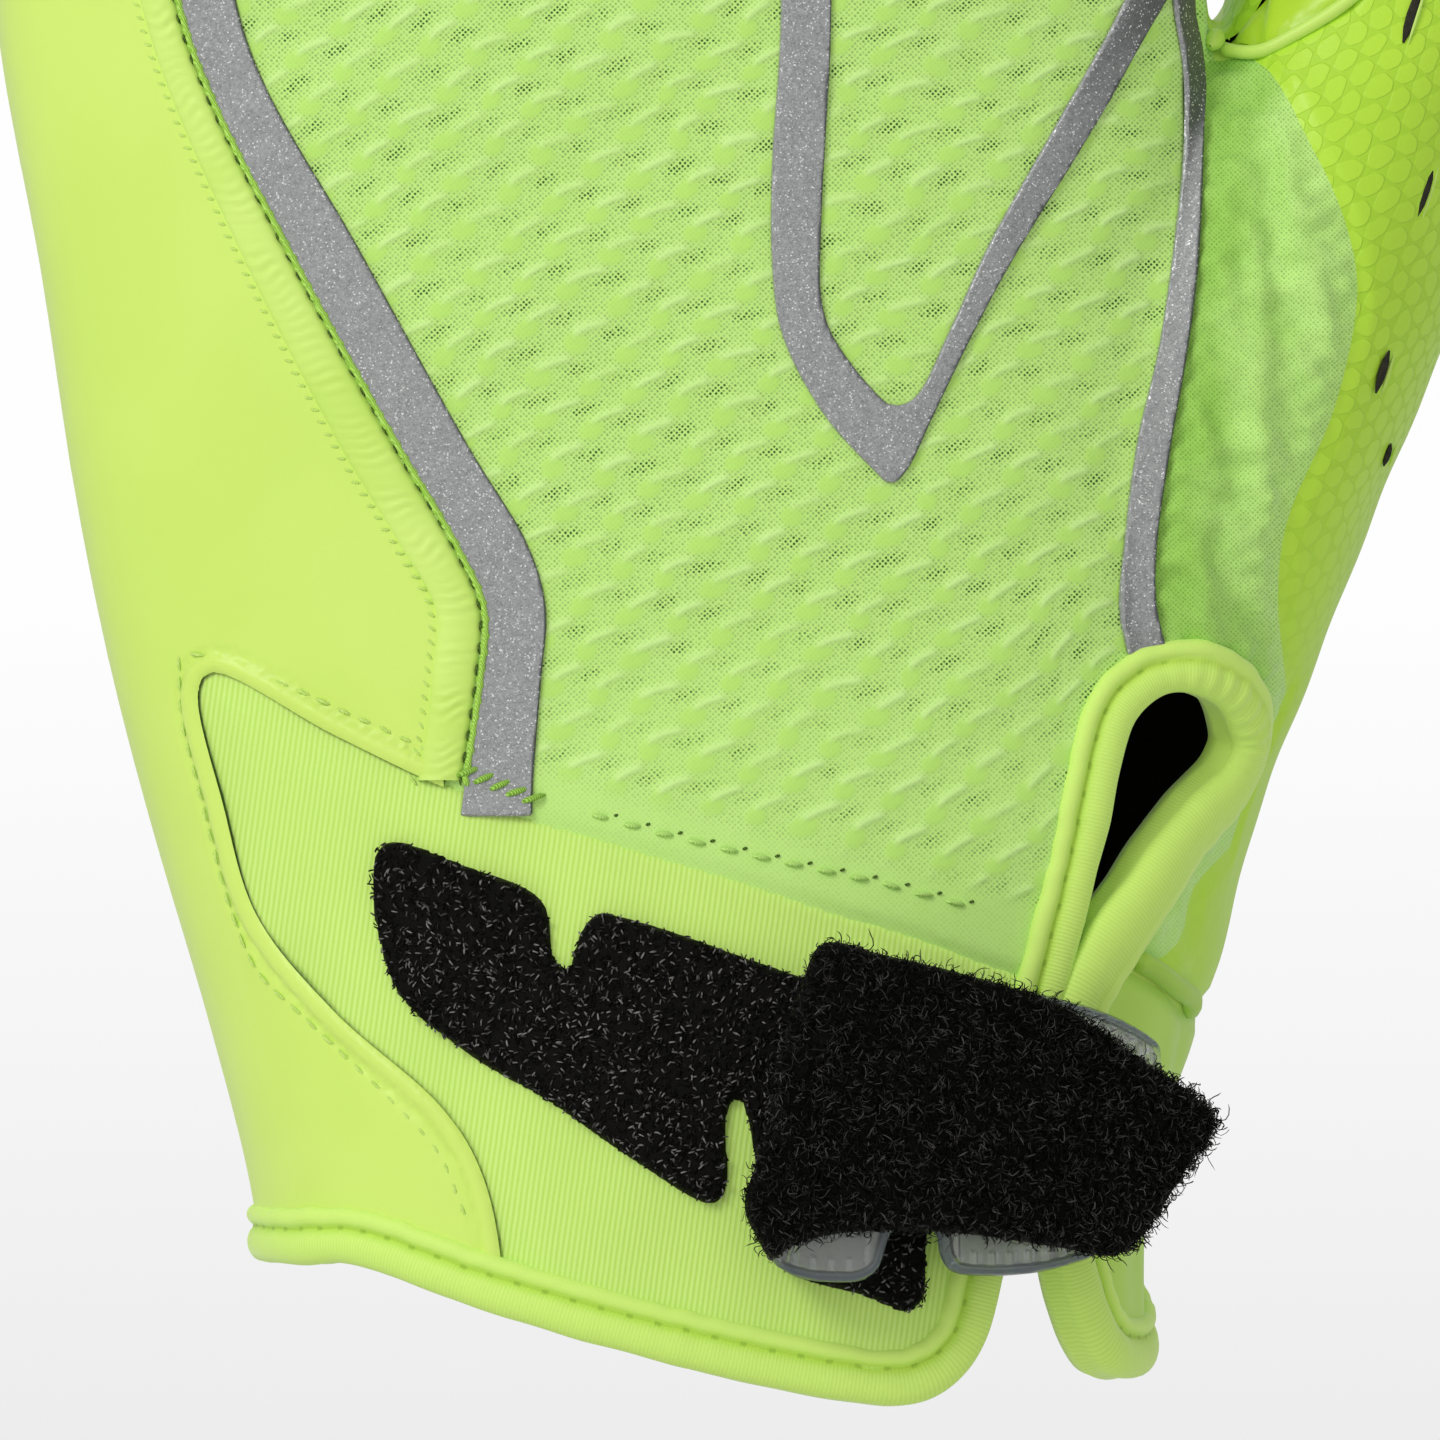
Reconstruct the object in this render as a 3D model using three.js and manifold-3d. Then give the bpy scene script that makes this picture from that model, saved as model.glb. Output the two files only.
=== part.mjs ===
// A left-hand football receiver glove in its worn form, in millimetres.
// +Z runs up to the fingertips, the back of the hand faces -Y and the thumb is on the +X side.
// The origin is the middle of the wrist mouth, at the level of the lowest point of the hem.
import * as THREE from "three";
import { mergeVertices } from "three/addons/utils/BufferGeometryUtils.js";
import Module from "manifold-3d";

const wasm = await Module();
wasm.setup();

// Driving sizes of the hand form
const BACK_HEIGHT = 150; // lowest hem to the webs between the fingers
const HAND_BREADTH = 95; // across the back at the crotch of the thumb
const HAND_DEPTH = 36; // back of the hand to the palm
const FINGER_REACH = 87; // web to the tip of the middle finger
const FINGER_WIDTH = 24;
const FINGER_CURL = 12; // how far the fingertips lean to the palm
const THUMB_REACH = 58; // crotch to the tip of the thumb

// Cloth thicknesses
const HAND_WALL = 1.6;
const CUFF_WALL = 2.4; // foam faced with jersey
const CUFF_TOP = 40; // where the cuff's thickness ends
const CUFF_FADE = 10; // height over which the wall thins from cuff to hand
const RIDGE_RISE = 0.9; // how far the gathered seam stands proud
const FILM = 0.5; // reflective stripes
const HOOK_THICKNESS = 1.2;
const STRAP_THICKNESS = 1.8;
const PAD_THICKNESS = 2.2;

// Binding: a main roll at the edge and a thin roll on the cloth side of its stitched ditch
const MAIN_ROLL = 2.9; // width along the cloth
const THIN_ROLL = 1.6;
const ROLL_PROUD = 0.7; // above the cloth

// Clearances
const SEAM_GAP = 0.3; // between pieces that are sewn or glued to each other
const STRAP_LIFT = 0.4; // under the strap, above the hook patch and the binding
const FOLD_GAP = 1.2; // between the two runs of the folded strap

// Mesh fineness
const BODY_SIDES = 28;
const FINGER_SIDES = 12;
const THUMB_SIDES = 18;
const BINDING_RINGS = 58;
const BINDING_SIDES = 10;
const SEAM_STEPS = 8; // of the side seam's curve along the fingers
const COVER_STEPS = 6; // heights at which the strap looks for the cuff's outermost face
const FAR = 130; // past everything on either side

// Hand sections: up as a share of BACK_HEIGHT, left and right of HAND_BREADTH, back and palm of HAND_DEPTH
const HAND_SECTIONS = [
  { up: -0.053, left: -0.352, right: 0.366, back: 0.65, palm: 0.69, power: 2.3 },
  { up: 0.02, left: -0.358, right: 0.37, back: 0.66, palm: 0.7, power: 2.3 },
  { up: 0.107, left: -0.375, right: 0.374, back: 0.665, palm: 0.69, power: 2.3 },
  { up: 0.196, left: -0.411, right: 0.4, back: 0.63, palm: 0.66, power: 2.3 },
  { up: 0.295, left: -0.456, right: 0.426, back: 0.59, palm: 0.61, power: 2.35 },
  { up: 0.387, left: -0.493, right: 0.432, back: 0.56, palm: 0.56, power: 2.4 },
  { up: 0.487, left: -0.525, right: 0.432, back: 0.54, palm: 0.52, power: 2.45 },
  { up: 0.6, left: -0.553, right: 0.428, back: 0.52, palm: 0.48, power: 2.5 },
  { up: 0.715, left: -0.586, right: 0.424, back: 0.5, palm: 0.44, power: 2.5 },
  { up: 0.83, left: -0.603, right: 0.418, back: 0.48, palm: 0.41, power: 2.5 },
  { up: 0.93, left: -0.605, right: 0.41, back: 0.43, palm: 0.37, power: 2.5 },
  { up: 1.0, left: -0.595, right: 0.4, back: 0.35, palm: 0.32, power: 2.4 },
  { up: 1.03, left: -0.575, right: 0.385, back: 0.22, palm: 0.21, power: 2.4 },
];

// Thumb and heel of the thumb, in the same shares, with the middle as the depth of the section's centre
const THUMB_SECTIONS = [
  { up: 0.15, left: 0.21, right: 0.39, middle: 0.2, back: 0.42, palm: 0.46, power: 2.1 },
  { up: 0.233, left: 0.19, right: 0.434, middle: 0.22, back: 0.5, palm: 0.52, power: 2.1 },
  { up: 0.3, left: 0.19, right: 0.461, middle: 0.24, back: 0.56, palm: 0.55, power: 2.1 },
  { up: 0.393, left: 0.19, right: 0.517, middle: 0.25, back: 0.6, palm: 0.58, power: 2.15 },
  { up: 0.487, left: 0.21, right: 0.576, middle: 0.25, back: 0.61, palm: 0.6, power: 2.2 },
  { up: 0.547, left: 0.23, right: 0.617, middle: 0.26, back: 0.6, palm: 0.59, power: 2.2 },
  { up: 0.633, left: 0.295, right: 0.661, middle: 0.28, back: 0.56, palm: 0.55, power: 2.2 },
  { up: 0.693, left: 0.38, right: 0.687, middle: 0.3, back: 0.51, palm: 0.5, power: 2.2 },
  { up: 0.74, left: 0.434, right: 0.708, middle: 0.31, back: 0.46, palm: 0.45, power: 2.2 },
];

// Thumb above its crotch: up as a share of THUMB_REACH, the rest as above
const THUMB_TIP_SECTIONS = [
  { up: 0.3, left: 0.474, right: 0.745, middle: 0.3, back: 0.41, palm: 0.39, power: 2.15 },
  { up: 0.53, left: 0.51, right: 0.775, middle: 0.28, back: 0.37, palm: 0.35, power: 2.1 },
  { up: 0.74, left: 0.55, right: 0.79, middle: 0.25, back: 0.31, palm: 0.3, power: 2.0 },
  { up: 0.88, left: 0.59, right: 0.785, middle: 0.22, back: 0.23, palm: 0.22, power: 2.0 },
  { up: 0.955, left: 0.62, right: 0.765, middle: 0.2, back: 0.16, palm: 0.16, power: 2.0 },
  { up: 1.0, left: 0.66, right: 0.735, middle: 0.19, back: 0.07, palm: 0.07, power: 2.0 },
];
const THUMB_CROTCH = 0.725; // share of BACK_HEIGHT

// Fingers: root as a share of HAND_BREADTH, reach of FINGER_REACH, width of FINGER_WIDTH, lean in degrees
const FINGERS = [
  { name: "little_finger", root: -0.485, reach: 0.66, width: 0.87, lean: -15 },
  { name: "ring_finger", root: -0.238, reach: 0.92, width: 0.97, lean: -9 },
  { name: "middle_finger", root: 0.016, reach: 1.0, width: 1.0, lean: -4 },
  { name: "index_finger", root: 0.276, reach: 0.87, width: 0.98, lean: 1.5 },
];

// Lines between and beside the fingers, from the webs up: root as a share of HAND_BREADTH, lean in degrees
const FINGER_LINES = [
  { root: -0.9, lean: -30 },
  { root: -0.362, lean: -12 },
  { root: -0.111, lean: -6.5 },
  { root: 0.146, lean: -1.25 },
  { root: 0.43, lean: 1.5 },
];
const FINGER_SEAM = 0.985; // height of the seam at the fingers' roots, as a share of BACK_HEIGHT

// One finger: along as a share of its reach, wide as a share of its width, deep as a share of its width
const FINGER_SECTIONS = [
  { along: -0.24, wide: 0.92, deep: 0.8 },
  { along: 0.0, wide: 0.98, deep: 0.86 },
  { along: 0.25, wide: 1.0, deep: 0.88 },
  { along: 0.45, wide: 1.0, deep: 0.88 },
  { along: 0.7, wide: 0.94, deep: 0.8 },
  { along: 0.85, wide: 0.86, deep: 0.7 },
  { along: 0.94, wide: 0.66, deep: 0.52 },
  { along: 0.99, wide: 0.32, deep: 0.26 },
];

// Outlines seen from the back of the hand: across as a share of HAND_BREADTH, up as a share of BACK_HEIGHT.
// Strips give a left and a right edge instead.
const SEAM_RIDGE = [
  { up: 0.985, left: -0.66, right: -0.586 },
  { up: 0.898, left: -0.543, right: -0.507 },
  { up: 0.803, left: -0.493, right: -0.461 },
  { up: 0.708, left: -0.454, right: -0.423 },
  { up: 0.607, left: -0.386, right: -0.346 },
  { up: 0.502, left: -0.301, right: -0.254 },
  { up: 0.449, left: -0.25, right: -0.205 },
  { up: 0.417, left: -0.222, right: -0.183 },
  { up: 0.38, left: -0.225, right: -0.186 },
  { up: 0.327, left: -0.236, right: -0.198 },
];
const STRIPE_LEFT = [
  { up: 0.914, left: -0.505, right: -0.474 },
  { up: 0.803, left: -0.452, right: -0.409 },
  { up: 0.708, left: -0.415, right: -0.373 },
  { up: 0.607, left: -0.338, right: -0.285 },
  { up: 0.502, left: -0.246, right: -0.193 },
  { up: 0.449, left: -0.197, right: -0.143 },
  { up: 0.417, left: -0.175, right: -0.129 },
  { up: 0.38, left: -0.178, right: -0.133 },
  { up: 0.322, left: -0.19, right: -0.14 },
];
const STRIPE_V = [
  { across: 0.066, up: 0.914 },
  { across: 0.065, up: 0.649 },
  { across: 0.056, up: 0.578 },
  { across: 0.066, up: 0.539 },
  { across: 0.142, up: 0.486 },
  { across: 0.155, up: 0.482 },
  { across: 0.165, up: 0.486 },
  { across: 0.183, up: 0.513 },
  { across: 0.259, up: 0.602 },
  { across: 0.317, up: 0.659 },
  { across: 0.383, up: 0.737 },
  { across: 0.356, up: 0.737 },
  { across: 0.292, up: 0.663 },
  { across: 0.239, up: 0.61 },
  { across: 0.153, up: 0.525 },
  { across: 0.099, up: 0.56 },
  { across: 0.094, up: 0.584 },
  { across: 0.107, up: 0.74 },
  { across: 0.107, up: 0.914 },
];
const STRIPE_THUMB = [
  { up: 0.846, left: 0.354, right: 0.383 },
  { up: 0.74, left: 0.391, right: 0.408 },
  { up: 0.703, left: 0.4, right: 0.417 },
  { up: 0.66, left: 0.4, right: 0.418 },
  { up: 0.597, left: 0.39, right: 0.413 },
  { up: 0.549, left: 0.378, right: 0.403 },
  { up: 0.507, left: 0.362, right: 0.391 },
  { up: 0.449, left: 0.35, right: 0.378 },
  { up: 0.425, left: 0.342, right: 0.371 },
];
const CUFF_BACK = [
  { across: -0.418, up: 0.375 },
  { across: -0.408, up: 0.384 },
  { across: -0.305, up: 0.351 },
  { across: -0.216, up: 0.324 },
  { across: -0.135, up: 0.304 },
  { across: -0.007, up: 0.28 },
  { across: 0.147, up: 0.249 },
  { across: 0.261, up: 0.224 },
  { across: 0.304, up: 0.22 },
  { across: 0.262, up: 0.063 },
  { across: 0.249, up: -0.1 },
  { across: -0.166, up: -0.1 },
  { across: -0.166, up: 0.076 },
  { across: -0.185, up: 0.126 },
  { across: -0.216, up: 0.156 },
  { across: -0.305, up: 0.206 },
  { across: -0.369, up: 0.256 },
  { across: -0.397, up: 0.314 },
];
const THUMB_GUSSET = [
  { across: 0.428, up: 0.703 },
  { across: 0.425, up: 0.667 },
  { across: 0.421, up: 0.601 },
  { across: 0.41, up: 0.549 },
  { across: 0.395, up: 0.486 },
  { across: 0.387, up: 0.452 },
  { across: 0.379, up: 0.421 },
  { across: 0.384, up: 0.38 },
  { across: 0.458, up: 0.369 },
  { across: 0.47, up: 0.325 },
  { across: 0.493, up: 0.33 },
  { across: 0.493, up: 0.364 },
  { across: 0.483, up: 0.421 },
  { across: 0.489, up: 0.461 },
  { across: 0.53, up: 0.524 },
  { across: 0.548, up: 0.586 },
  { across: 0.536, up: 0.623 },
  { across: 0.51, up: 0.659 },
  { across: 0.459, up: 0.709 },
];
const HOOK_PANEL = [
  { across: -0.265, up: 0.293 },
  { across: -0.185, up: 0.28 },
  { across: -0.131, up: 0.263 },
  { across: -0.121, up: 0.234 },
  { across: -0.11, up: 0.228 },
  { across: -0.104, up: 0.242 },
  { across: -0.088, up: 0.257 },
  { across: -0.052, up: 0.253 },
  { across: 0.082, up: 0.224 },
  { across: 0.205, up: 0.2 },
  { across: 0.185, up: 0.084 },
  { across: 0.182, up: 0.055 },
  { across: 0.17, up: 0.048 },
  { across: 0.132, up: 0.057 },
  { across: 0.058, up: 0.076 },
  { across: 0.04, up: 0.142 },
  { across: 0.03, up: 0.161 },
  { across: 0.022, up: 0.155 },
  { across: 0.019, up: 0.11 },
  { across: 0.008, up: 0.105 },
  { across: -0.052, up: 0.126 },
  { across: -0.119, up: 0.155 },
  { across: -0.194, up: 0.184 },
  { across: -0.254, up: 0.219 },
];
const STRAP_OUTLINE = [
  { across: 0.03, up: 0.1 },
  { across: 0.058, up: 0.072 },
  { across: 0.082, up: 0.061 },
  { across: 0.139, up: 0.062 },
  { across: 0.164, up: 0.084 },
  { across: 0.19, up: 0.084 },
  { across: 0.203, up: 0.064 },
  { across: 0.291, up: 0.068 },
  { across: 0.341, up: 0.08 },
  { across: 0.374, up: 0.102 },
  { across: 0.393, up: 0.142 },
  { across: 0.388, up: 0.181 },
  { across: 0.349, up: 0.201 },
  { across: 0.249, up: 0.219 },
  { across: 0.094, up: 0.234 },
  { across: 0.03, up: 0.2 },
];
const LOOP_PAD_OUTLINE = [
  { across: 0.035, up: 0.105 },
  { across: 0.058, up: 0.077 },
  { across: 0.107, up: 0.09 },
  { across: 0.232, up: 0.089 },
  { across: 0.341, up: 0.078 },
  { across: 0.374, up: 0.098 },
  { across: 0.423, up: 0.148 },
  { across: 0.374, up: 0.176 },
  { across: 0.291, up: 0.211 },
  { across: 0.216, up: 0.226 },
  { across: 0.099, up: 0.242 },
  { across: 0.061, up: 0.179 },
];

// Region of the knit: its border runs through the ridge, the cuff, the keyhole and the gusset
const KNIT_REGION = [
  { across: -0.215, up: 0.31 },
  { across: -0.205, up: 0.41 },
  { across: -0.277, up: 0.502 },
  { across: -0.366, up: 0.607 },
  { across: -0.438, up: 0.708 },
  { across: -0.477, up: 0.803 },
  { across: -0.525, up: 0.898 },
  { across: -0.625, up: 0.985 },
  { across: -1.2, up: 1.05 },
  { across: -1.2, up: 1.9 },
  { across: 0.432, up: 1.9 },
  { across: 0.432, up: 0.76 },
  { across: 0.429, up: 0.716 },
  { across: 0.435, up: 0.69 },
  { across: 0.43, up: 0.6 },
  { across: 0.4, up: 0.47 },
  { across: 0.39, up: 0.4 },
  { across: 0.36, up: 0.34 },
  { across: 0.3, up: 0.21 },
];

// Thumb grip on the back of the hand, its heel seam on the palm, and the inner panel over the crotch
const THUMB_BACK_REGION = [
  { across: 0.452, up: 0.7095 },
  { across: 0.5, up: 0.64 },
  { across: 0.52, up: 0.56 },
  { across: 0.48, up: 0.47 },
  { across: 0.47, up: 0.4 },
  { across: 0.45, up: 0.34 },
  { across: 0.36, up: 0.27 },
  { across: 0.33, up: 0.23 },
  { across: 0.357, up: 0.229 },
  { across: 0.385, up: 0.219 },
  { across: 0.41, up: 0.205 },
  { across: 1.2, up: 0.2 },
  { across: 1.2, up: 1.3 },
  { across: 0.433, up: 1.3 },
  { across: 0.433, up: 0.725 },
];
const THUMB_PALM_REGION = [
  { across: 0.19, up: 0.212 },
  { across: 1.2, up: 0.2 },
  { across: 1.2, up: 1.3 },
  { across: 0.433, up: 1.3 },
  { across: 0.433, up: 0.725 },
  { across: 0.36, up: 0.64 },
  { across: 0.27, up: 0.5 },
  { across: 0.2, up: 0.34 },
];
const THUMB_INNER = [
  { across: 0.43, up: 0.72 },
  { across: 0.465, up: 0.716 },
  { across: 0.496, up: 0.725 },
  { across: 0.536, up: 0.738 },
  { across: 0.6, up: 0.79 },
  { across: 0.665, up: 0.87 },
  { across: 0.72, up: 0.97 },
  { across: 0.735, up: 1.06 },
  { across: 0.71, up: 1.15 },
  { across: 0.43, up: 1.15 },
];

// Cuff on the thumb side of the slit, seen from the back, and round on the palm
const CUFF_THUMB_SIDE = [
  { across: 0.304, up: 0.222 },
  { across: 0.357, up: 0.226 },
  { across: 0.385, up: 0.216 },
  { across: 0.41, up: 0.2 },
  { across: 0.7, up: 0.196 },
  { across: 0.7, up: -0.1 },
  { across: 0.249, up: -0.1 },
  { across: 0.262, up: 0.063 },
];
const CUFF_PALM_SIDE = [
  { across: -0.16, up: 0.209 },
  { across: 0.7, up: 0.196 },
  { across: 0.7, up: -0.1 },
  { across: -0.16, up: -0.1 },
];

// Ditch of the binding, in order: the back hem, the slit, the keyhole, down the slit again, the palm hem
const BINDING_ROUTE = [
  { across: -0.4, up: 0.089, side: "back" },
  { across: -0.34, up: 0.091, side: "back" },
  { across: -0.28, up: 0.091, side: "back" },
  { across: -0.185, up: 0.07, side: "back" },
  { across: -0.032, up: 0.042, side: "back" },
  { across: 0.121, up: 0.021, side: "back" },
  { across: 0.173, up: 0.019, side: "back" },
  { across: 0.206, up: 0.034, side: "back" },
  { across: 0.218, up: 0.061, side: "back" },
  { across: 0.237, up: 0.12, side: "back" },
  { across: 0.262, up: 0.18, side: "back" },
  { across: 0.282, up: 0.232, side: "back" },
  { across: 0.302, up: 0.281, side: "back" },
  { across: 0.318, up: 0.33, side: "back" },
  { across: 0.335, up: 0.368, side: "back" },
  { across: 0.372, up: 0.388, side: "back" },
  { across: 0.415, up: 0.391, side: "back" },
  { across: 0.45, up: 0.379, side: "back" },
  { across: 0.464, up: 0.354, side: "back" },
  { across: 0.45, up: 0.326, side: "back" },
  { across: 0.414, up: 0.299, side: "back" },
  { across: 0.373, up: 0.268, side: "back" },
  { across: 0.345, up: 0.235, side: "back" },
  { across: 0.333, up: 0.19, side: "back" },
  { across: 0.322, up: 0.13, side: "back" },
  { across: 0.322, up: 0.075, side: "back" },
  { across: 0.336, up: 0.04, side: "back" },
  { across: 0.4, up: 0.034, side: "back" },
  { across: 0.358, up: 0.056, side: "palm" },
  { across: 0.3, up: 0.09, side: "palm" },
  { across: 0.19, up: 0.112, side: "palm" },
  { across: 0.03, up: 0.11, side: "palm" },
  { across: -0.13, up: 0.104, side: "palm" },
  { across: -0.27, up: 0.097, side: "palm" },
  { across: -0.345, up: 0.09, side: "palm" },
];

// The strap lies between these places, as shares of HAND_BREADTH, and crosses these heights
const STRAP_ROOT = 0.352;
const STRAP_FOLD = 0.078;
const STRAP_LOW = 0.06;
const STRAP_HIGH = 0.24;
const STRAP_STEPS = 9;
const FOLD_STEPS = 5;

// Colours from the photo
const COLOURS = {
  grip: 0xcdf06e,
  knit: 0xa8f060,
  gusset: 0xbdf58c,
  jersey: 0xc0ee70,
  binding: 0xcdf54b,
  silver: 0xa9abac,
  black: 0x141412,
  clear: 0x989ea3,
};

// Reads a row of a section table as sizes in millimetres
function handSection(row) {
  return {
    z: row.up * BACK_HEIGHT,
    left: row.left * HAND_BREADTH,
    right: row.right * HAND_BREADTH,
    middle: (row.middle ?? 0) * HAND_DEPTH,
    back: row.back * HAND_DEPTH,
    palm: row.palm * HAND_DEPTH,
    power: row.power,
  };
}

function thumbTipSection(row) {
  const section = handSection(row);
  section.z = THUMB_CROTCH * BACK_HEIGHT + row.up * THUMB_REACH;
  return section;
}

const hand = HAND_SECTIONS.map(handSection);
const thumb = [...THUMB_SECTIONS.map(handSection), ...THUMB_TIP_SECTIONS.map(thumbTipSection)];

// Wall thickness at a height: the cuff's foam thins into the hand
function wallAt(z) {
  const share = THREE.MathUtils.smoothstep(z, CUFF_TOP, CUFF_TOP + CUFF_FADE);
  return THREE.MathUtils.lerp(CUFF_WALL, HAND_WALL, share);
}

// Depth of the side seam, which also is the middle of the curled fingers
function sideSeam(z) {
  const share = Math.max(0, z - BACK_HEIGHT) / FINGER_REACH;
  return FINGER_CURL * share * share;
}

// Point of a rounded-box section at a turn, grown outwards by a distance
function sectionPoint(section, turn, grow) {
  const cos = Math.cos(turn);
  const sin = Math.sin(turn);
  const half = (section.right - section.left) / 2 + grow;
  const depth = (sin < 0 ? section.back : section.palm) + grow;
  const middle = (section.left + section.right) / 2;
  const x = middle + Math.sign(cos) * Math.abs(cos) ** (2 / section.power) * half;
  const y = section.middle + Math.sign(sin) * Math.abs(sin) ** (2 / section.power) * depth;
  return new THREE.Vector3(x, y, section.z);
}

// Closed surface through rings of points, with a fan over each end or, if closed, round to its start
function loft(rings, closed = false) {
  const sides = rings[0].length;
  const points = rings.flat();
  const faces = [];
  const spans = closed ? rings.length : rings.length - 1;
  for (let i = 0; i < spans; i += 1) {
    const low = i * sides;
    const high = ((i + 1) % rings.length) * sides;
    for (let j = 0; j < sides; j += 1) {
      const next = (j + 1) % sides;
      faces.push(low + j, low + next, high + next, low + j, high + next, high + j);
    }
  }
  if (!closed) {
    const last = (rings.length - 1) * sides;
    const middle = (ring) => ring.reduce((sum, p) => sum.add(p), new THREE.Vector3()).divideScalar(sides);
    points.push(middle(rings[0]), middle(rings[rings.length - 1]));
    for (let j = 0; j < sides; j += 1) {
      const next = (j + 1) % sides;
      faces.push(points.length - 2, next, j, points.length - 1, last + j, last + next);
    }
  }
  const geometry = new THREE.BufferGeometry().setFromPoints(points);
  geometry.setIndex(faces);
  return geometry;
}

// Turns a closed geometry into a solid that can be joined and cut
function solid(geometry) {
  const bare = geometry.clone();
  bare.deleteAttribute("normal");
  bare.deleteAttribute("uv");
  const merged = mergeVertices(bare, 1e-4);
  const mesh = new wasm.Mesh({
    numProp: 3,
    vertProperties: new Float32Array(merged.attributes.position.array),
    triVerts: new Uint32Array(merged.index.array),
  });
  return new wasm.Manifold(mesh);
}

function turns(sides) {
  return Array.from({ length: sides }, (_, i) => (i / sides) * 2 * Math.PI);
}

// Column of sections, each grown by its own distance, with its top raised by the last one
function column(sections, sides, growAt) {
  const ringAt = (section) => turns(sides).map((turn) => sectionPoint(section, turn, growAt(section.z)));
  const rings = sections.map(ringAt);
  const top = rings[rings.length - 1];
  const rise = growAt(sections[sections.length - 1].z);
  top.forEach((point) => {
    point.z += rise;
  });
  return solid(loft(rings));
}

// One finger as a tube that leans and curls with the side seam
function finger(row, growAt) {
  const reach = row.reach * FINGER_REACH;
  const width = row.width * FINGER_WIDTH;
  const lean = THREE.MathUtils.degToRad(row.lean);
  const across = new THREE.Vector3(Math.cos(lean), 0, -Math.sin(lean));
  const rings = FINGER_SECTIONS.map((section, index) => {
    const grow = growAt(BACK_HEIGHT);
    const last = index === FINGER_SECTIONS.length - 1;
    const along = section.along * reach + (last ? grow : 0);
    const x = row.root * HAND_BREADTH + along * Math.sin(lean);
    const z = BACK_HEIGHT + along * Math.cos(lean);
    return turns(FINGER_SIDES).map((turn) => {
      const half = (section.wide * width) / 2 + grow;
      const deep = (section.deep * width) / 2 + grow;
      const point = new THREE.Vector3(x, sideSeam(z) + Math.sin(turn) * deep, z);
      return point.addScaledVector(across, Math.cos(turn) * half);
    });
  });
  return solid(loft(rings));
}

// The whole hand form, grown outwards by a distance that may change with height
function handForm(growAt) {
  const parts = [column(hand, BODY_SIDES, growAt), column(thumb, THUMB_SIDES, growAt)];
  FINGERS.forEach((row) => {
    parts.push(finger(row, growAt));
  });
  return parts.reduce((whole, part) => whole.add(part));
}

// Outline in millimetres from a table of shares; a strip goes up its right edge and down its left
function outlineOf(table) {
  const scaled = (across, up) => new THREE.Vector2(across * HAND_BREADTH, up * BACK_HEIGHT);
  if (table[0].left === undefined) {
    return table.map((row) => scaled(row.across, row.up));
  }
  const right = table.map((row) => scaled(row.right, row.up));
  const left = table.map((row) => scaled(row.left, row.up));
  return [...right, ...left.reverse()];
}

// Outline moved outwards by a distance, corner by corner
function grown(outline, distance) {
  const turn = THREE.ShapeUtils.area(outline) > 0 ? 1 : -1;
  const count = outline.length;
  return outline.map((point, i) => {
    const before = point.clone().sub(outline[(i + count - 1) % count]).normalize();
    const after = outline[(i + 1) % count].clone().sub(point).normalize();
    const out = new THREE.Vector2(before.y + after.y, -before.x - after.x).multiplyScalar(turn).normalize();
    const square = Math.max(0.5, out.dot(new THREE.Vector2(after.y, -after.x).multiplyScalar(turn)));
    return point.clone().addScaledVector(out, distance / square);
  });
}

function extruded(outline, depth) {
  return new THREE.ExtrudeGeometry(new THREE.Shape(outline), { depth, bevelEnabled: false });
}

// Straight-sided solid over an outline, through the glove from back to palm
function prism(outline) {
  const geometry = extruded(outline, 2 * FAR);
  const axes = new THREE.Matrix4().makeBasis(
    new THREE.Vector3(1, 0, 0),
    new THREE.Vector3(0, 0, 1),
    new THREE.Vector3(0, -1, 0),
  );
  geometry.applyMatrix4(axes.setPosition(0, FAR, 0));
  return solid(geometry);
}

// Table of one finger's region, between the lines on its two sides
function fingerRegion(index) {
  const low = FINGER_SEAM;
  const high = 1 + (1.2 * FINGER_REACH) / BACK_HEIGHT;
  const placeOn = (line, up) => {
    const rise = (up - 1) * BACK_HEIGHT;
    return { across: line.root + (rise * Math.tan(THREE.MathUtils.degToRad(line.lean))) / HAND_BREADTH, up };
  };
  const [left, right] = FINGER_LINES.slice(index, index + 2);
  return [placeOn(left, low), placeOn(right, low), placeOn(right, high), placeOn(left, high)];
}

// Everything on the back's side (-1) or the palm's side (1) of a depth that may change with height
function sideOf(side, depthAt) {
  const reach = FINGER_REACH * 1.1;
  const heights = Array.from({ length: SEAM_STEPS }, (_, i) => BACK_HEIGHT + (i / (SEAM_STEPS - 1)) * reach);
  const edge = [-FAR, ...heights].map((z) => new THREE.Vector2(depthAt(z), z));
  const top = edge[edge.length - 1].y;
  const outline = [...edge, new THREE.Vector2(side * FAR, top), new THREE.Vector2(side * FAR, -FAR)];
  const geometry = extruded(outline, 2 * FAR);
  const axes = new THREE.Matrix4().makeBasis(
    new THREE.Vector3(0, 1, 0),
    new THREE.Vector3(0, 0, 1),
    new THREE.Vector3(1, 0, 0),
  );
  geometry.applyMatrix4(axes.setPosition(-FAR, 0, 0));
  return solid(geometry);
}

// Region of the back, cut from front to side seam
function backRegion(table, grow = 0) {
  return prism(grown(outlineOf(table), grow)).intersect(sideOf(-1, (z) => sideSeam(z) + grow));
}

function palmRegion(table, grow = 0) {
  return prism(grown(outlineOf(table), grow)).intersect(sideOf(1, (z) => sideSeam(z) - grow));
}

// The largest body of a solid, without the slivers that a cut leaves
function mainBody(shape) {
  return shape.decompose().reduce((best, body) => (body.volume() > best.volume() ? body : best));
}

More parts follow.
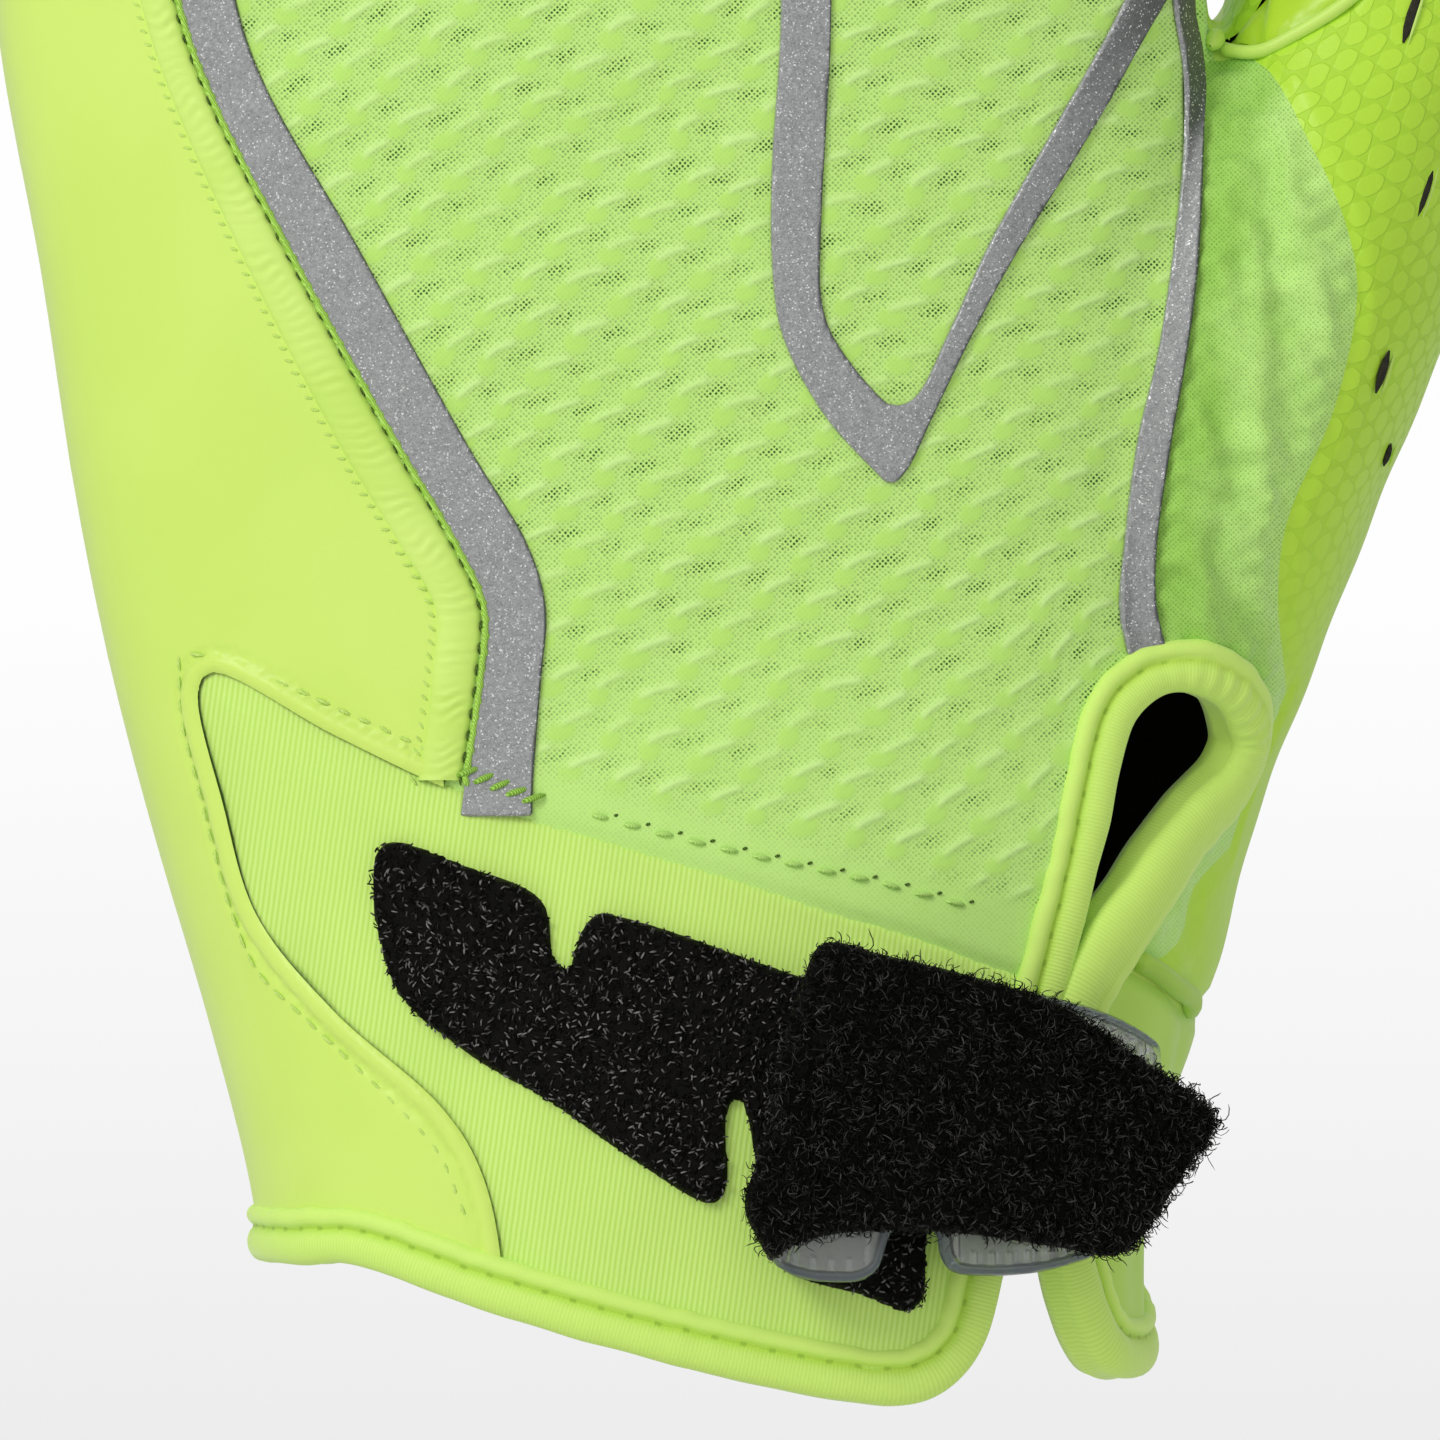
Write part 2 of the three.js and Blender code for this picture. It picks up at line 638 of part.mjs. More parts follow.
// Section of a column at a height, between the rows of its table
function sectionAt(sections, z) {
  const high = sections.findIndex((section) => section.z > z);
  if (high < 1) {
    return high === 0 ? sections[0] : null;
  }
  const low = sections[high - 1];
  const share = (z - low.z) / (sections[high].z - low.z);
  const mix = (name) => THREE.MathUtils.lerp(low[name], sections[high][name], share);
  return {
    z,
    left: mix("left"),
    right: mix("right"),
    middle: mix("middle"),
    back: mix("back"),
    palm: mix("palm"),
    power: mix("power"),
  };
}

// Where a column's surface lies at a place: its depth and level outward normal, or null beside the column
function faceOf(sections, x, z, side) {
  const section = sectionAt(sections, z);
  const half = (section.right - section.left) / 2;
  const share = (x - section.left - half) / half;
  if (Math.abs(share) > 1) {
    return null;
  }
  const deep = side === "back" ? -section.back : section.palm;
  const rise = (1 - Math.abs(share) ** section.power) ** (1 / section.power);
  const sideways = (Math.sign(share) * Math.abs(share) ** (section.power - 1)) / half;
  const normal = new THREE.Vector3(sideways, rise ** (section.power - 1) / deep, 0).normalize();
  return { depth: section.middle + deep * rise, normal };
}

// The glove's surface at a place on the back or on the palm, held within its width
function surface(x, z, side) {
  const section = sectionAt(hand, z);
  const inside = THREE.MathUtils.clamp(x, section.left, section.right);
  const onHand = faceOf(hand, inside, z, side);
  const onThumb = side === "back" && z > thumb[0].z ? faceOf(thumb, x, z, side) : null;
  if (onThumb && onThumb.depth < onHand.depth) {
    return { point: new THREE.Vector3(x, onThumb.depth, z), normal: onThumb.normal };
  }
  return { point: new THREE.Vector3(inside, onHand.depth, z), normal: onHand.normal };
}

function surfacePoint(row) {
  return surface(row.across * HAND_BREADTH, row.up * BACK_HEIGHT, row.side);
}

// Section of the binding as offsets along the cloth and out of it: the two rolls side by side
function bindingSection(grow) {
  const deep = CUFF_WALL / 2 + ROLL_PROUD;
  return turns(BINDING_SIDES).map((turn) => {
    const onThin = Math.cos(turn) > 0;
    const reach = onThin ? THIN_ROLL : MAIN_ROLL;
    const waist = 1 - 0.22 * Math.abs(Math.sin(turn)) ** 6;
    return {
      along: Math.cos(turn) * (reach + grow),
      out: Math.sin(turn) * (deep * waist + grow) - CUFF_WALL / 2,
    };
  });
}

// The binding swept round its closed route, with its section square to the cloth
function binding(grow) {
  const places = BINDING_ROUTE.map(surfacePoint);
  const route = new THREE.CatmullRomCurve3(places.map((place) => place.point), true, "centripetal");
  const normals = new THREE.CatmullRomCurve3(places.map((place) => place.normal), true, "centripetal");
  const section = bindingSection(grow);
  const rings = turns(BINDING_RINGS).map((turn) => {
    const share = turn / (2 * Math.PI);
    const point = route.getPoint(share);
    const tangent = route.getTangent(share);
    const normal = normals.getPoint(share);
    const toCloth = normal.clone().cross(tangent).normalize();
    const out = tangent.clone().cross(toCloth).normalize();
    return section.map((place) => {
      const beside = point.clone().addScaledVector(toCloth, place.along);
      return beside.addScaledVector(out, place.out);
    });
  });
  return solid(loft(rings, true));
}

// Distances of the strap's faces from the cuff
const lowerInner = SEAM_GAP + HOOK_THICKNESS + STRAP_LIFT;
const lowerOuter = lowerInner + STRAP_THICKNESS;
const upperInner = lowerOuter + FOLD_GAP;
const upperOuter = upperInner + STRAP_THICKNESS;

// Outermost face of the glove over the strap's height, which its runs have to clear
function coverDepth(x) {
  const share = (i) => THREE.MathUtils.lerp(STRAP_LOW, STRAP_HIGH, i / (COVER_STEPS - 1));
  const heights = Array.from({ length: COVER_STEPS }, (_, i) => share(i));
  return Math.min(...heights.map((up) => surface(x, up * BACK_HEIGHT, "back").point.y));
}

// Line over the cuff at a distance from it, from the strap's root to its fold
function coverLine(distance) {
  const root = STRAP_ROOT * HAND_BREADTH;
  const fold = STRAP_FOLD * HAND_BREADTH;
  return Array.from({ length: STRAP_STEPS }, (_, i) => {
    const x = THREE.MathUtils.lerp(root, fold, i / (STRAP_STEPS - 1));
    const slope = coverDepth(x + 0.5) - coverDepth(x - 0.5);
    const out = new THREE.Vector2(slope, -1).normalize();
    return new THREE.Vector2(x, coverDepth(x)).addScaledVector(out, distance);
  });
}

// Band between two lines, raised over the strap's height and trimmed to an outline
function band(inner, outer, table) {
  const spare = 0.05;
  const height = (STRAP_HIGH - STRAP_LOW + 2 * spare) * BACK_HEIGHT;
  const geometry = extruded([...inner, ...outer.reverse()], height);
  geometry.translate(0, 0, (STRAP_LOW - spare) * BACK_HEIGHT);
  return solid(geometry).intersect(prism(outlineOf(table)));
}

// Middle of the fold's half turn, between the strap's two runs
function foldCentre() {
  return coverLine((lowerOuter + upperInner) / 2)[STRAP_STEPS - 1];
}

// Arc round the fold between two shares of its half turn, from the lower run to the upper one
function foldArc(radius, start = 0, end = 1) {
  const centre = foldCentre();
  return Array.from({ length: FOLD_STEPS }, (_, i) => {
    const share = THREE.MathUtils.lerp(start, end, (i + 1) / (FOLD_STEPS + 1));
    const turn = Math.PI / 2 + share * Math.PI;
    return new THREE.Vector2(centre.x + radius * Math.cos(turn), centre.y + radius * Math.sin(turn));
  });
}

// The strap starts on the thumb side, crosses the slit, folds back on itself and returns
function strap() {
  const hollow = [...coverLine(lowerOuter), ...foldArc(FOLD_GAP / 2), ...coverLine(upperInner).reverse()];
  const skin = [
    ...coverLine(lowerInner),
    ...foldArc(FOLD_GAP / 2 + STRAP_THICKNESS),
    ...coverLine(upperOuter).reverse(),
  ];
  return band(hollow, skin, STRAP_OUTLINE);
}

// The loop pad lies on the strap's free run and reaches round onto the fold
function loopPad() {
  const under = FOLD_GAP / 2 + STRAP_THICKNESS + SEAM_GAP;
  const wrapped = 0.45;
  const inner = [...foldArc(under, wrapped), ...coverLine(upperOuter + SEAM_GAP).reverse()];
  const outer = [
    ...foldArc(under + PAD_THICKNESS, wrapped),
    ...coverLine(upperOuter + SEAM_GAP + PAD_THICKNESS).reverse(),
  ];
  return band(inner, outer, LOOP_PAD_OUTLINE);
}

// Thin layer over the hand form within an outline
function overlay(table, lift, thickness) {
  const layer = handForm(() => lift + thickness).subtract(handForm(() => lift));
  return mainBody(layer.intersect(backRegion(table)));
}

// Material and mesh of one named piece
function piece(name, colour, roughness, shape) {
  const mesh = shape.getMesh();
  const geometry = new THREE.BufferGeometry();
  geometry.setAttribute("position", new THREE.BufferAttribute(new Float32Array(mesh.vertProperties), 3));
  geometry.setIndex(Array.from(mesh.triVerts));
  geometry.computeVertexNormals();
  const material = new THREE.MeshStandardMaterial({ color: colour, roughness, metalness: 0 });
  const node = new THREE.Mesh(geometry, material);
  node.name = name;
  return node;
}

// The hollow shell, open at the wrist and cut through along the binding
const hollowForm = handForm((z) => -wallAt(z));
const outerForm = handForm(() => 0);
const shell = mainBody(outerForm.subtract(hollowForm).subtract(binding(SEAM_GAP)));

// Panels are taken from the shell one after another, each with its seam gap
let rest = shell;
const panels = {};
function takePanel(name, region, regionGrown) {
  panels[name] = mainBody(rest.intersect(region));
  rest = rest.subtract(regionGrown);
}

takePanel("cuff_back_panel", backRegion(CUFF_BACK), backRegion(CUFF_BACK, SEAM_GAP));
takePanel(
  "cuff_palm_panel",
  backRegion(CUFF_THUMB_SIDE).add(palmRegion(CUFF_PALM_SIDE)),
  backRegion(CUFF_THUMB_SIDE, SEAM_GAP).add(palmRegion(CUFF_PALM_SIDE, SEAM_GAP)),
);
const ridgeRegion = backRegion(SEAM_RIDGE);
const ridgeLayer = handForm(() => RIDGE_RISE).subtract(hollowForm);
const ridge = mainBody(ridgeLayer.intersect(ridgeRegion).subtract(backRegion(CUFF_BACK, SEAM_GAP)));
rest = rest.subtract(backRegion(SEAM_RIDGE, SEAM_GAP));
takePanel("thumb_gusset", backRegion(THUMB_GUSSET), backRegion(THUMB_GUSSET, SEAM_GAP));
FINGERS.forEach((row, index) => {
  const region = fingerRegion(index);
  takePanel(`${row.name}_back`, backRegion(region), backRegion(region, SEAM_GAP));
  takePanel(`${row.name}_front`, palmRegion(region), palmRegion(region, SEAM_GAP));
});
takePanel("back_knit", backRegion(KNIT_REGION), backRegion(KNIT_REGION, SEAM_GAP));
takePanel("thumb_inner", backRegion(THUMB_INNER), backRegion(THUMB_INNER, SEAM_GAP));
takePanel(
  "thumb_grip",
  backRegion(THUMB_BACK_REGION).add(palmRegion(THUMB_PALM_REGION)),
  backRegion(THUMB_BACK_REGION, SEAM_GAP).add(palmRegion(THUMB_PALM_REGION, SEAM_GAP)),
);

const glove = new THREE.Group();
glove.add(piece("palm_grip", COLOURS.grip, 0.45, mainBody(rest)));
glove.add(piece("back_knit", COLOURS.knit, 0.85, panels.back_knit));
FINGERS.forEach((row) => {
  glove.add(piece(`${row.name}_back`, COLOURS.knit, 0.85, panels[`${row.name}_back`]));
  glove.add(piece(`${row.name}_front`, COLOURS.grip, 0.45, panels[`${row.name}_front`]));
});
glove.add(piece("seam_ridge", COLOURS.grip, 0.6, ridge));
glove.add(piece("thumb_gusset", COLOURS.gusset, 0.85, panels.thumb_gusset));
glove.add(piece("thumb_grip", COLOURS.grip, 0.45, panels.thumb_grip));
glove.add(piece("thumb_inner", COLOURS.grip, 0.45, panels.thumb_inner));
glove.add(piece("cuff_back_panel", COLOURS.jersey, 0.8, panels.cuff_back_panel));
glove.add(piece("cuff_palm_panel", COLOURS.grip, 0.6, panels.cuff_palm_panel));
glove.add(piece("edge_binding", COLOURS.binding, 0.7, binding(0)));
glove.add(piece("stripe_left", COLOURS.silver, 0.4, overlay(STRIPE_LEFT, SEAM_GAP, FILM)));
glove.add(piece("stripe_v", COLOURS.silver, 0.4, overlay(STRIPE_V, SEAM_GAP, FILM)));
glove.add(piece("stripe_thumb", COLOURS.silver, 0.4, overlay(STRIPE_THUMB, SEAM_GAP, FILM)));
glove.add(piece("hook_panel", COLOURS.black, 0.9, overlay(HOOK_PANEL, SEAM_GAP, HOOK_THICKNESS)));
glove.add(piece("strap", COLOURS.clear, 0.25, strap()));
glove.add(piece("strap_loop_pad", COLOURS.black, 0.95, loopPad()));

export default glove;
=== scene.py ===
"""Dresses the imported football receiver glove: cloth panels, binding, seams, film stripes, strap and light."""
from __future__ import annotations

import logging
import math
from dataclasses import dataclass, field
from enum import Enum

import bpy
import numpy as np
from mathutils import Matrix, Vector
from mathutils.bvhtree import BVHTree

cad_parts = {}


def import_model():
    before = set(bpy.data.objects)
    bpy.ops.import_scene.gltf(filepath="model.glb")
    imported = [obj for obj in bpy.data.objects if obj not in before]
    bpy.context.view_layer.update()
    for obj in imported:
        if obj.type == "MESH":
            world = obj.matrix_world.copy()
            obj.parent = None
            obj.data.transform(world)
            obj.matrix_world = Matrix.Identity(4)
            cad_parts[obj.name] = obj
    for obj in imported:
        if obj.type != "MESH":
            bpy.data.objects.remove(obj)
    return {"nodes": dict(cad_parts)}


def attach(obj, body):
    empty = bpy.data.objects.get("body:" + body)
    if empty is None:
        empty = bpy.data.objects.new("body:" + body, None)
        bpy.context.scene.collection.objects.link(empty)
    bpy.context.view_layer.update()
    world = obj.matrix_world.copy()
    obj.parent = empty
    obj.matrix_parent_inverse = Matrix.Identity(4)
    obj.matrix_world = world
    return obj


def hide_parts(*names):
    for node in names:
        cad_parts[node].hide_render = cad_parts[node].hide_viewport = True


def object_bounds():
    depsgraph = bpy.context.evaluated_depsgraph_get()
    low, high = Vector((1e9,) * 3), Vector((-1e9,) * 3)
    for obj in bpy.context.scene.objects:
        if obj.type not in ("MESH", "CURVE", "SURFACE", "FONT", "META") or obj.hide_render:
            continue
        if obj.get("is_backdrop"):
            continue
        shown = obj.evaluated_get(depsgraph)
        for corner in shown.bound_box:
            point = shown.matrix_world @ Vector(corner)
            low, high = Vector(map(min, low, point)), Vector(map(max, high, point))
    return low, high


LOG = logging.getLogger("glove")
MM = 0.001
TURN = 2 * math.pi
TINY = 1e-9
Rgb = tuple[int, int, int]

BACK_HEIGHT = 150.0
HAND_BREADTH = 95.0
HAND_DEPTH = 36.0
FINGER_REACH = 87.0
FINGER_WIDTH = 24.0
FINGER_CURL = 12.0
THUMB_REACH = 58.0
THUMB_CROTCH = 0.725
SEAM_GAP = 0.3
HOOK_THICKNESS = 1.2
STRAP_THICKNESS = 1.8
PAD_THICKNESS = 2.2
STRAP_LIFT = 0.4
FOLD_GAP = 1.2
STRAP_ROOT = 0.352
STRAP_FOLD = 0.078
STRAP_LOW = 0.06
STRAP_HIGH = 0.24

# Hand sections: up in BACK_HEIGHT, left and right in HAND_BREADTH, middle, back and palm in HAND_DEPTH, power
HAND_SECTIONS = (
    (-0.053, -0.352, 0.366, 0.0, 0.65, 0.69, 2.3),
    (0.02, -0.358, 0.37, 0.0, 0.66, 0.7, 2.3),
    (0.107, -0.375, 0.374, 0.0, 0.665, 0.69, 2.3),
    (0.196, -0.411, 0.4, 0.0, 0.63, 0.66, 2.3),
    (0.295, -0.456, 0.426, 0.0, 0.59, 0.61, 2.35),
    (0.387, -0.493, 0.432, 0.0, 0.56, 0.56, 2.4),
    (0.487, -0.525, 0.432, 0.0, 0.54, 0.52, 2.45),
    (0.6, -0.553, 0.428, 0.0, 0.52, 0.48, 2.5),
    (0.715, -0.586, 0.424, 0.0, 0.5, 0.44, 2.5),
    (0.83, -0.603, 0.418, 0.0, 0.48, 0.41, 2.5),
    (0.93, -0.605, 0.41, 0.0, 0.43, 0.37, 2.5),
    (1.0, -0.595, 0.4, 0.0, 0.35, 0.32, 2.4),
    (1.03, -0.575, 0.385, 0.0, 0.22, 0.21, 2.4),
)
THUMB_SECTIONS = (
    (0.15, 0.21, 0.39, 0.2, 0.42, 0.46, 2.1),
    (0.233, 0.19, 0.434, 0.22, 0.5, 0.52, 2.1),
    (0.3, 0.19, 0.461, 0.24, 0.56, 0.55, 2.1),
    (0.393, 0.19, 0.517, 0.25, 0.6, 0.58, 2.15),
    (0.487, 0.21, 0.576, 0.25, 0.61, 0.6, 2.2),
    (0.547, 0.23, 0.617, 0.26, 0.6, 0.59, 2.2),
    (0.633, 0.295, 0.661, 0.28, 0.56, 0.55, 2.2),
    (0.693, 0.38, 0.687, 0.3, 0.51, 0.5, 2.2),
    (0.74, 0.434, 0.708, 0.31, 0.46, 0.45, 2.2),
)
# The same above the crotch, with up as a share of THUMB_REACH
THUMB_TIP_SECTIONS = (
    (0.3, 0.474, 0.745, 0.3, 0.41, 0.39, 2.15),
    (0.53, 0.51, 0.775, 0.28, 0.37, 0.35, 2.1),
    (0.74, 0.55, 0.79, 0.25, 0.31, 0.3, 2.0),
    (0.88, 0.59, 0.785, 0.22, 0.23, 0.22, 2.0),
    (0.955, 0.62, 0.765, 0.2, 0.16, 0.16, 2.0),
    (1.0, 0.66, 0.735, 0.19, 0.07, 0.07, 2.0),
)
FINGER_NAMES = ("little_finger", "ring_finger", "middle_finger", "index_finger")
# Fingers: root in HAND_BREADTH, reach in FINGER_REACH, width in FINGER_WIDTH, lean in degrees
FINGERS = (
    (-0.485, 0.66, 0.87, -15.0),
    (-0.238, 0.92, 0.97, -9.0),
    (0.016, 1.0, 1.0, -4.0),
    (0.276, 0.87, 0.98, 1.5),
)
# One finger: along its reach, wide and deep in its width
FINGER_SECTIONS = (
    (-0.24, 0.92, 0.8),
    (0.0, 0.98, 0.86),
    (0.25, 1.0, 0.88),
    (0.45, 1.0, 0.88),
    (0.7, 0.94, 0.8),
    (0.85, 0.86, 0.7),
    (0.94, 0.66, 0.52),
    (0.99, 0.32, 0.26),
)
# Strips on the back: up in BACK_HEIGHT, left and right edge in HAND_BREADTH
SEAM_RIDGE = (
    (0.985, -0.66, -0.586),
    (0.898, -0.543, -0.507),
    (0.803, -0.493, -0.461),
    (0.708, -0.454, -0.423),
    (0.607, -0.386, -0.346),
    (0.502, -0.301, -0.254),
    (0.449, -0.25, -0.205),
    (0.417, -0.222, -0.183),
    (0.38, -0.225, -0.186),
    (0.327, -0.236, -0.198),
)
STRIPE_LEFT = (
    (0.95, -0.56, -0.53),
    (0.914, -0.509, -0.474),
    (0.803, -0.46, -0.409),
    (0.708, -0.422, -0.373),
    (0.607, -0.345, -0.285),
    (0.502, -0.253, -0.193),
    (0.449, -0.204, -0.143),
    (0.417, -0.182, -0.129),
    (0.38, -0.185, -0.133),
    (0.322, -0.197, -0.14),
    (0.308, -0.2, -0.14),
)
STRIPE_THUMB = (
    (0.93, 0.36, 0.392),
    (0.885, 0.392, 0.405),
    (0.83, 0.389, 0.408),
    (0.74, 0.391, 0.408),
    (0.703, 0.4, 0.417),
    (0.66, 0.4, 0.418),
    (0.597, 0.39, 0.413),
    (0.549, 0.378, 0.403),
    (0.507, 0.362, 0.391),
    (0.449, 0.35, 0.378),
    (0.4175, 0.346, 0.378),
    (0.392, 0.354, 0.388),
)
# Outlines on the back: across in HAND_BREADTH, up in BACK_HEIGHT
STRIPE_V = (
    (0.066, 0.95), (0.065, 0.8), (0.065, 0.72), (0.058, 0.649), (0.058, 0.6), (0.066, 0.562), (0.1, 0.52),
    (0.142, 0.49), (0.157, 0.482), (0.17, 0.49), (0.19, 0.516), (0.225, 0.562), (0.259, 0.602), (0.317, 0.662),
    (0.36, 0.71), (0.4, 0.762), (0.39, 0.8), (0.35, 0.737), (0.292, 0.67), (0.239, 0.61), (0.205, 0.563),
    (0.175, 0.527), (0.157, 0.524), (0.142, 0.532), (0.108, 0.561), (0.099, 0.58), (0.099, 0.62), (0.107, 0.72),
    (0.107, 0.8), (0.107, 0.95),
)
CUFF_BACK = (
    (-0.418, 0.375), (-0.408, 0.384), (-0.305, 0.351), (-0.216, 0.324), (-0.135, 0.304), (-0.007, 0.28),
    (0.147, 0.249), (0.261, 0.224), (0.304, 0.22), (0.262, 0.063), (0.249, -0.1), (-0.166, -0.1),
    (-0.166, 0.076), (-0.185, 0.126), (-0.216, 0.156), (-0.305, 0.206), (-0.369, 0.256), (-0.397, 0.314),
)
THUMB_GUSSET = (
    (0.414, 0.703), (0.411, 0.667), (0.406, 0.601), (0.396, 0.549), (0.378, 0.486), (0.37, 0.452),
    (0.365, 0.421), (0.372, 0.38), (0.44, 0.365), (0.445, 0.335), (0.405, 0.3), (0.36, 0.26), (0.342, 0.232),
    (0.375, 0.23), (0.402, 0.242), (0.412, 0.268), (0.437, 0.286), (0.468, 0.306), (0.489, 0.335), (0.493, 0.364),
    (0.483, 0.421), (0.489, 0.461), (0.53, 0.524), (0.548, 0.586), (0.536, 0.623), (0.51, 0.659), (0.459, 0.709),
)
HOOK_PANEL = (
    (-0.265, 0.293), (-0.185, 0.28), (-0.131, 0.263), (-0.121, 0.234), (-0.11, 0.228), (-0.104, 0.242),
    (-0.088, 0.257), (-0.052, 0.253), (0.082, 0.224), (0.205, 0.2), (0.185, 0.084), (0.182, 0.055),
    (0.17, 0.048), (0.132, 0.057), (0.058, 0.076), (0.04, 0.142), (0.03, 0.161), (0.022, 0.155),
    (0.019, 0.11), (0.008, 0.105), (-0.052, 0.126), (-0.119, 0.155), (-0.194, 0.184), (-0.254, 0.219),
)
STRAP_OUTLINE = (
    (0.06, 0.11), (0.058, 0.084), (0.064, 0.073), (0.08, 0.067), (0.105, 0.065), (0.134, 0.066), (0.147, 0.073),
    (0.158, 0.092), (0.192, 0.092), (0.197, 0.078), (0.206, 0.07), (0.225, 0.068), (0.255, 0.068), (0.291, 0.071),
    (0.341, 0.083), (0.374, 0.104),
    (0.393, 0.142), (0.388, 0.181), (0.349, 0.201), (0.249, 0.219), (0.12, 0.228), (0.078, 0.17),
)
LOOP_PAD_OUTLINE = (
    (0.035, 0.105), (0.045, 0.089), (0.058, 0.077), (0.074, 0.084), (0.107, 0.09), (0.17, 0.092), (0.232, 0.089),
    (0.3, 0.082), (0.341, 0.078), (0.36, 0.086), (0.374, 0.098), (0.4, 0.124), (0.423, 0.148), (0.404, 0.163),
    (0.374, 0.176), (0.33, 0.195), (0.291, 0.211), (0.216, 0.226), (0.15, 0.236), (0.099, 0.242), (0.082, 0.22),
    (0.061, 0.179), (0.052, 0.14),
)
KNIT_REGION = (
    (-0.215, 0.31), (-0.205, 0.41), (-0.277, 0.502), (-0.366, 0.607), (-0.438, 0.708), (-0.477, 0.803),
    (-0.525, 0.898), (-0.625, 0.985), (-1.2, 1.05), (-1.2, 1.9), (0.432, 1.9), (0.432, 0.76), (0.429, 0.716),
    (0.435, 0.69), (0.43, 0.6), (0.4, 0.47), (0.39, 0.4), (0.36, 0.34), (0.3, 0.21),
)
THUMB_BACK_REGION = (
    (0.452, 0.7095), (0.5, 0.64), (0.52, 0.56), (0.48, 0.47), (0.47, 0.4), (0.45, 0.34), (0.36, 0.27),
    (0.33, 0.23), (0.357, 0.229), (0.385, 0.219), (0.41, 0.205), (1.2, 0.2), (1.2, 1.3), (0.433, 1.3),
    (0.433, 0.725),
)
THUMB_PALM_REGION = (
    (0.19, 0.212), (1.2, 0.2), (1.2, 1.3), (0.433, 1.3), (0.433, 0.725), (0.36, 0.64), (0.27, 0.5), (0.2, 0.34),
)
THUMB_INNER = (
    (0.43, 0.72), (0.465, 0.716), (0.496, 0.725), (0.536, 0.738), (0.6, 0.79), (0.665, 0.87), (0.72, 0.97),
    (0.735, 1.06), (0.71, 1.15), (0.43, 1.15),
)
CUFF_THUMB_SIDE = (
    (0.304, 0.222), (0.357, 0.226), (0.385, 0.216), (0.41, 0.2), (0.7, 0.196), (0.7, -0.1), (0.249, -0.1),
    (0.262, 0.063),
)
CUFF_PALM_SIDE = ((-0.16, 0.209), (0.7, 0.196), (0.7, -0.1), (-0.16, -0.1))
# Lines of needlework: across and up in millimetres
SIDE_ROW_TOP = (
    (-39.9, 59.0), (-37.5, 58.5), (-34.8, 57.3), (-31.7, 56.1), (-28.0, 54.4), (-24.6, 52.9), (-21.7, 51.5),
)
SIDE_ROW_LEFT = (
    (-41.3, 58.3), (-41.1, 53.9), (-39.9, 49.0), (-38.7, 44.2), (-37.2, 38.8), (-35.1, 34.0),
    (-31.4, 30.4), (-27.8, 27.0), (-24.6, 24.0), (-20.7, 19.7), (-18.8, 15.3),
)
CUFF_SEAM = (
    (-18.4, 49.7), (-13.3, 47.6), (-8.0, 46.2), (-4.0, 45.1), (3.0, 43.4), (8.0, 42.3), (14.0, 41.0), (20.0, 39.4),
)
CROTCH_PIPING = ((41.0, 106.9), (44.1, 106.7), (47.1, 108.1), (51.0, 110.6), (54.0, 113.5))
CROTCH_NUB = ((40.1, 107.2), (40.5, 107.7), (40.8, 108.3))
HEEL_HEM_BACK = ((33.9, 35.0), (35.2, 34.4), (36.6, 33.3), (38.0, 32.1), (39.2, 31.4), (40.0, 31.0))
HEEL_HEM_PALM = ((37.6, 30.8), (35.0, 30.8), (28.0, 30.9), (19.5, 31.5))
# Slits in the thumb: across, up and length in millimetres
THUMB_SLITS = ((56.2, 109.6, 4.4), (57.2, 95.7, 4.2), (53.8, 81.4, 3.4), (54.3, 74.9, 1.8))
# Steps of the knit's tucks from one to the next in its row and to the row below: across and up in millimetres
TUCK_STEP = (3.73, -0.8)
TUCK_ROW = (0.67, -3.6)
# Ditch of the binding: across, up, side (-1 back, 1 palm), then shares: width of the edge roll, depth of the ditch
BINDING_ROUTE = (
    (-0.4, 0.089, -1, 1, 1), (-0.34, 0.091, -1, 1, 1), (-0.28, 0.091, -1, 1, 1),
    (-0.185, 0.07, -1, 1, 1), (-0.032, 0.042, -1, 1, 1), (0.121, 0.021, -1, 1, 1),
    (0.173, 0.019, -1, 1, 1), (0.206, 0.034, -1, 1, 1), (0.218, 0.061, -1, 1, 1),
    (0.237, 0.12, -1, 0.95, 1.0), (0.262, 0.18, -1, 0.9, 1.0), (0.282, 0.232, -1, 0.9, 1.0),
    (0.302, 0.281, -1, 0.95, 1.0), (0.318, 0.33, -1, 1, 1), (0.335, 0.368, -1, 1, 1),
    (0.372, 0.388, -1, 0.9, 0.9), (0.415, 0.391, -1, 0.95, 0.7), (0.45, 0.379, -1, 1.05, 0.5),
    (0.464, 0.354, -1, 1.2, 0.25), (0.447, 0.323, -1, 1.25, 0.1), (0.408, 0.294, -1, 1.25, 0.1),
    (0.376, 0.262, -1, 1.35, 0.1), (0.345, 0.233, -1, 1.35, 0.15), (0.318, 0.2, -1, 1.15, 0.5),
    (0.312, 0.13, -1, 1.15, 0.9), (0.322, 0.075, -1, 1.3, 1.0), (0.34, 0.04, -1, 1.3, 1.0),
    (0.4, 0.034, -1, 1, 1), (0.358, 0.056, 1, 1, 1), (0.3, 0.09, 1, 1, 1),
    (0.19, 0.112, 1, 1, 1), (0.03, 0.11, 1, 1, 1), (-0.13, 0.104, 1, 1, 1),
    (-0.27, 0.097, 1, 1, 1), (-0.345, 0.09, 1, 1, 1),
)


class Side(Enum):
    """Side of the hand."""

    BACK = -1
    PALM = 1


def smoothstep(low: float, high: float, value: np.ndarray) -> np.ndarray:
    """Smooth rise from 0 at low to 1 at high."""
    share = np.clip((value - low) / (high - low), 0.0, 1.0)
    return share * share * (3.0 - 2.0 * share)


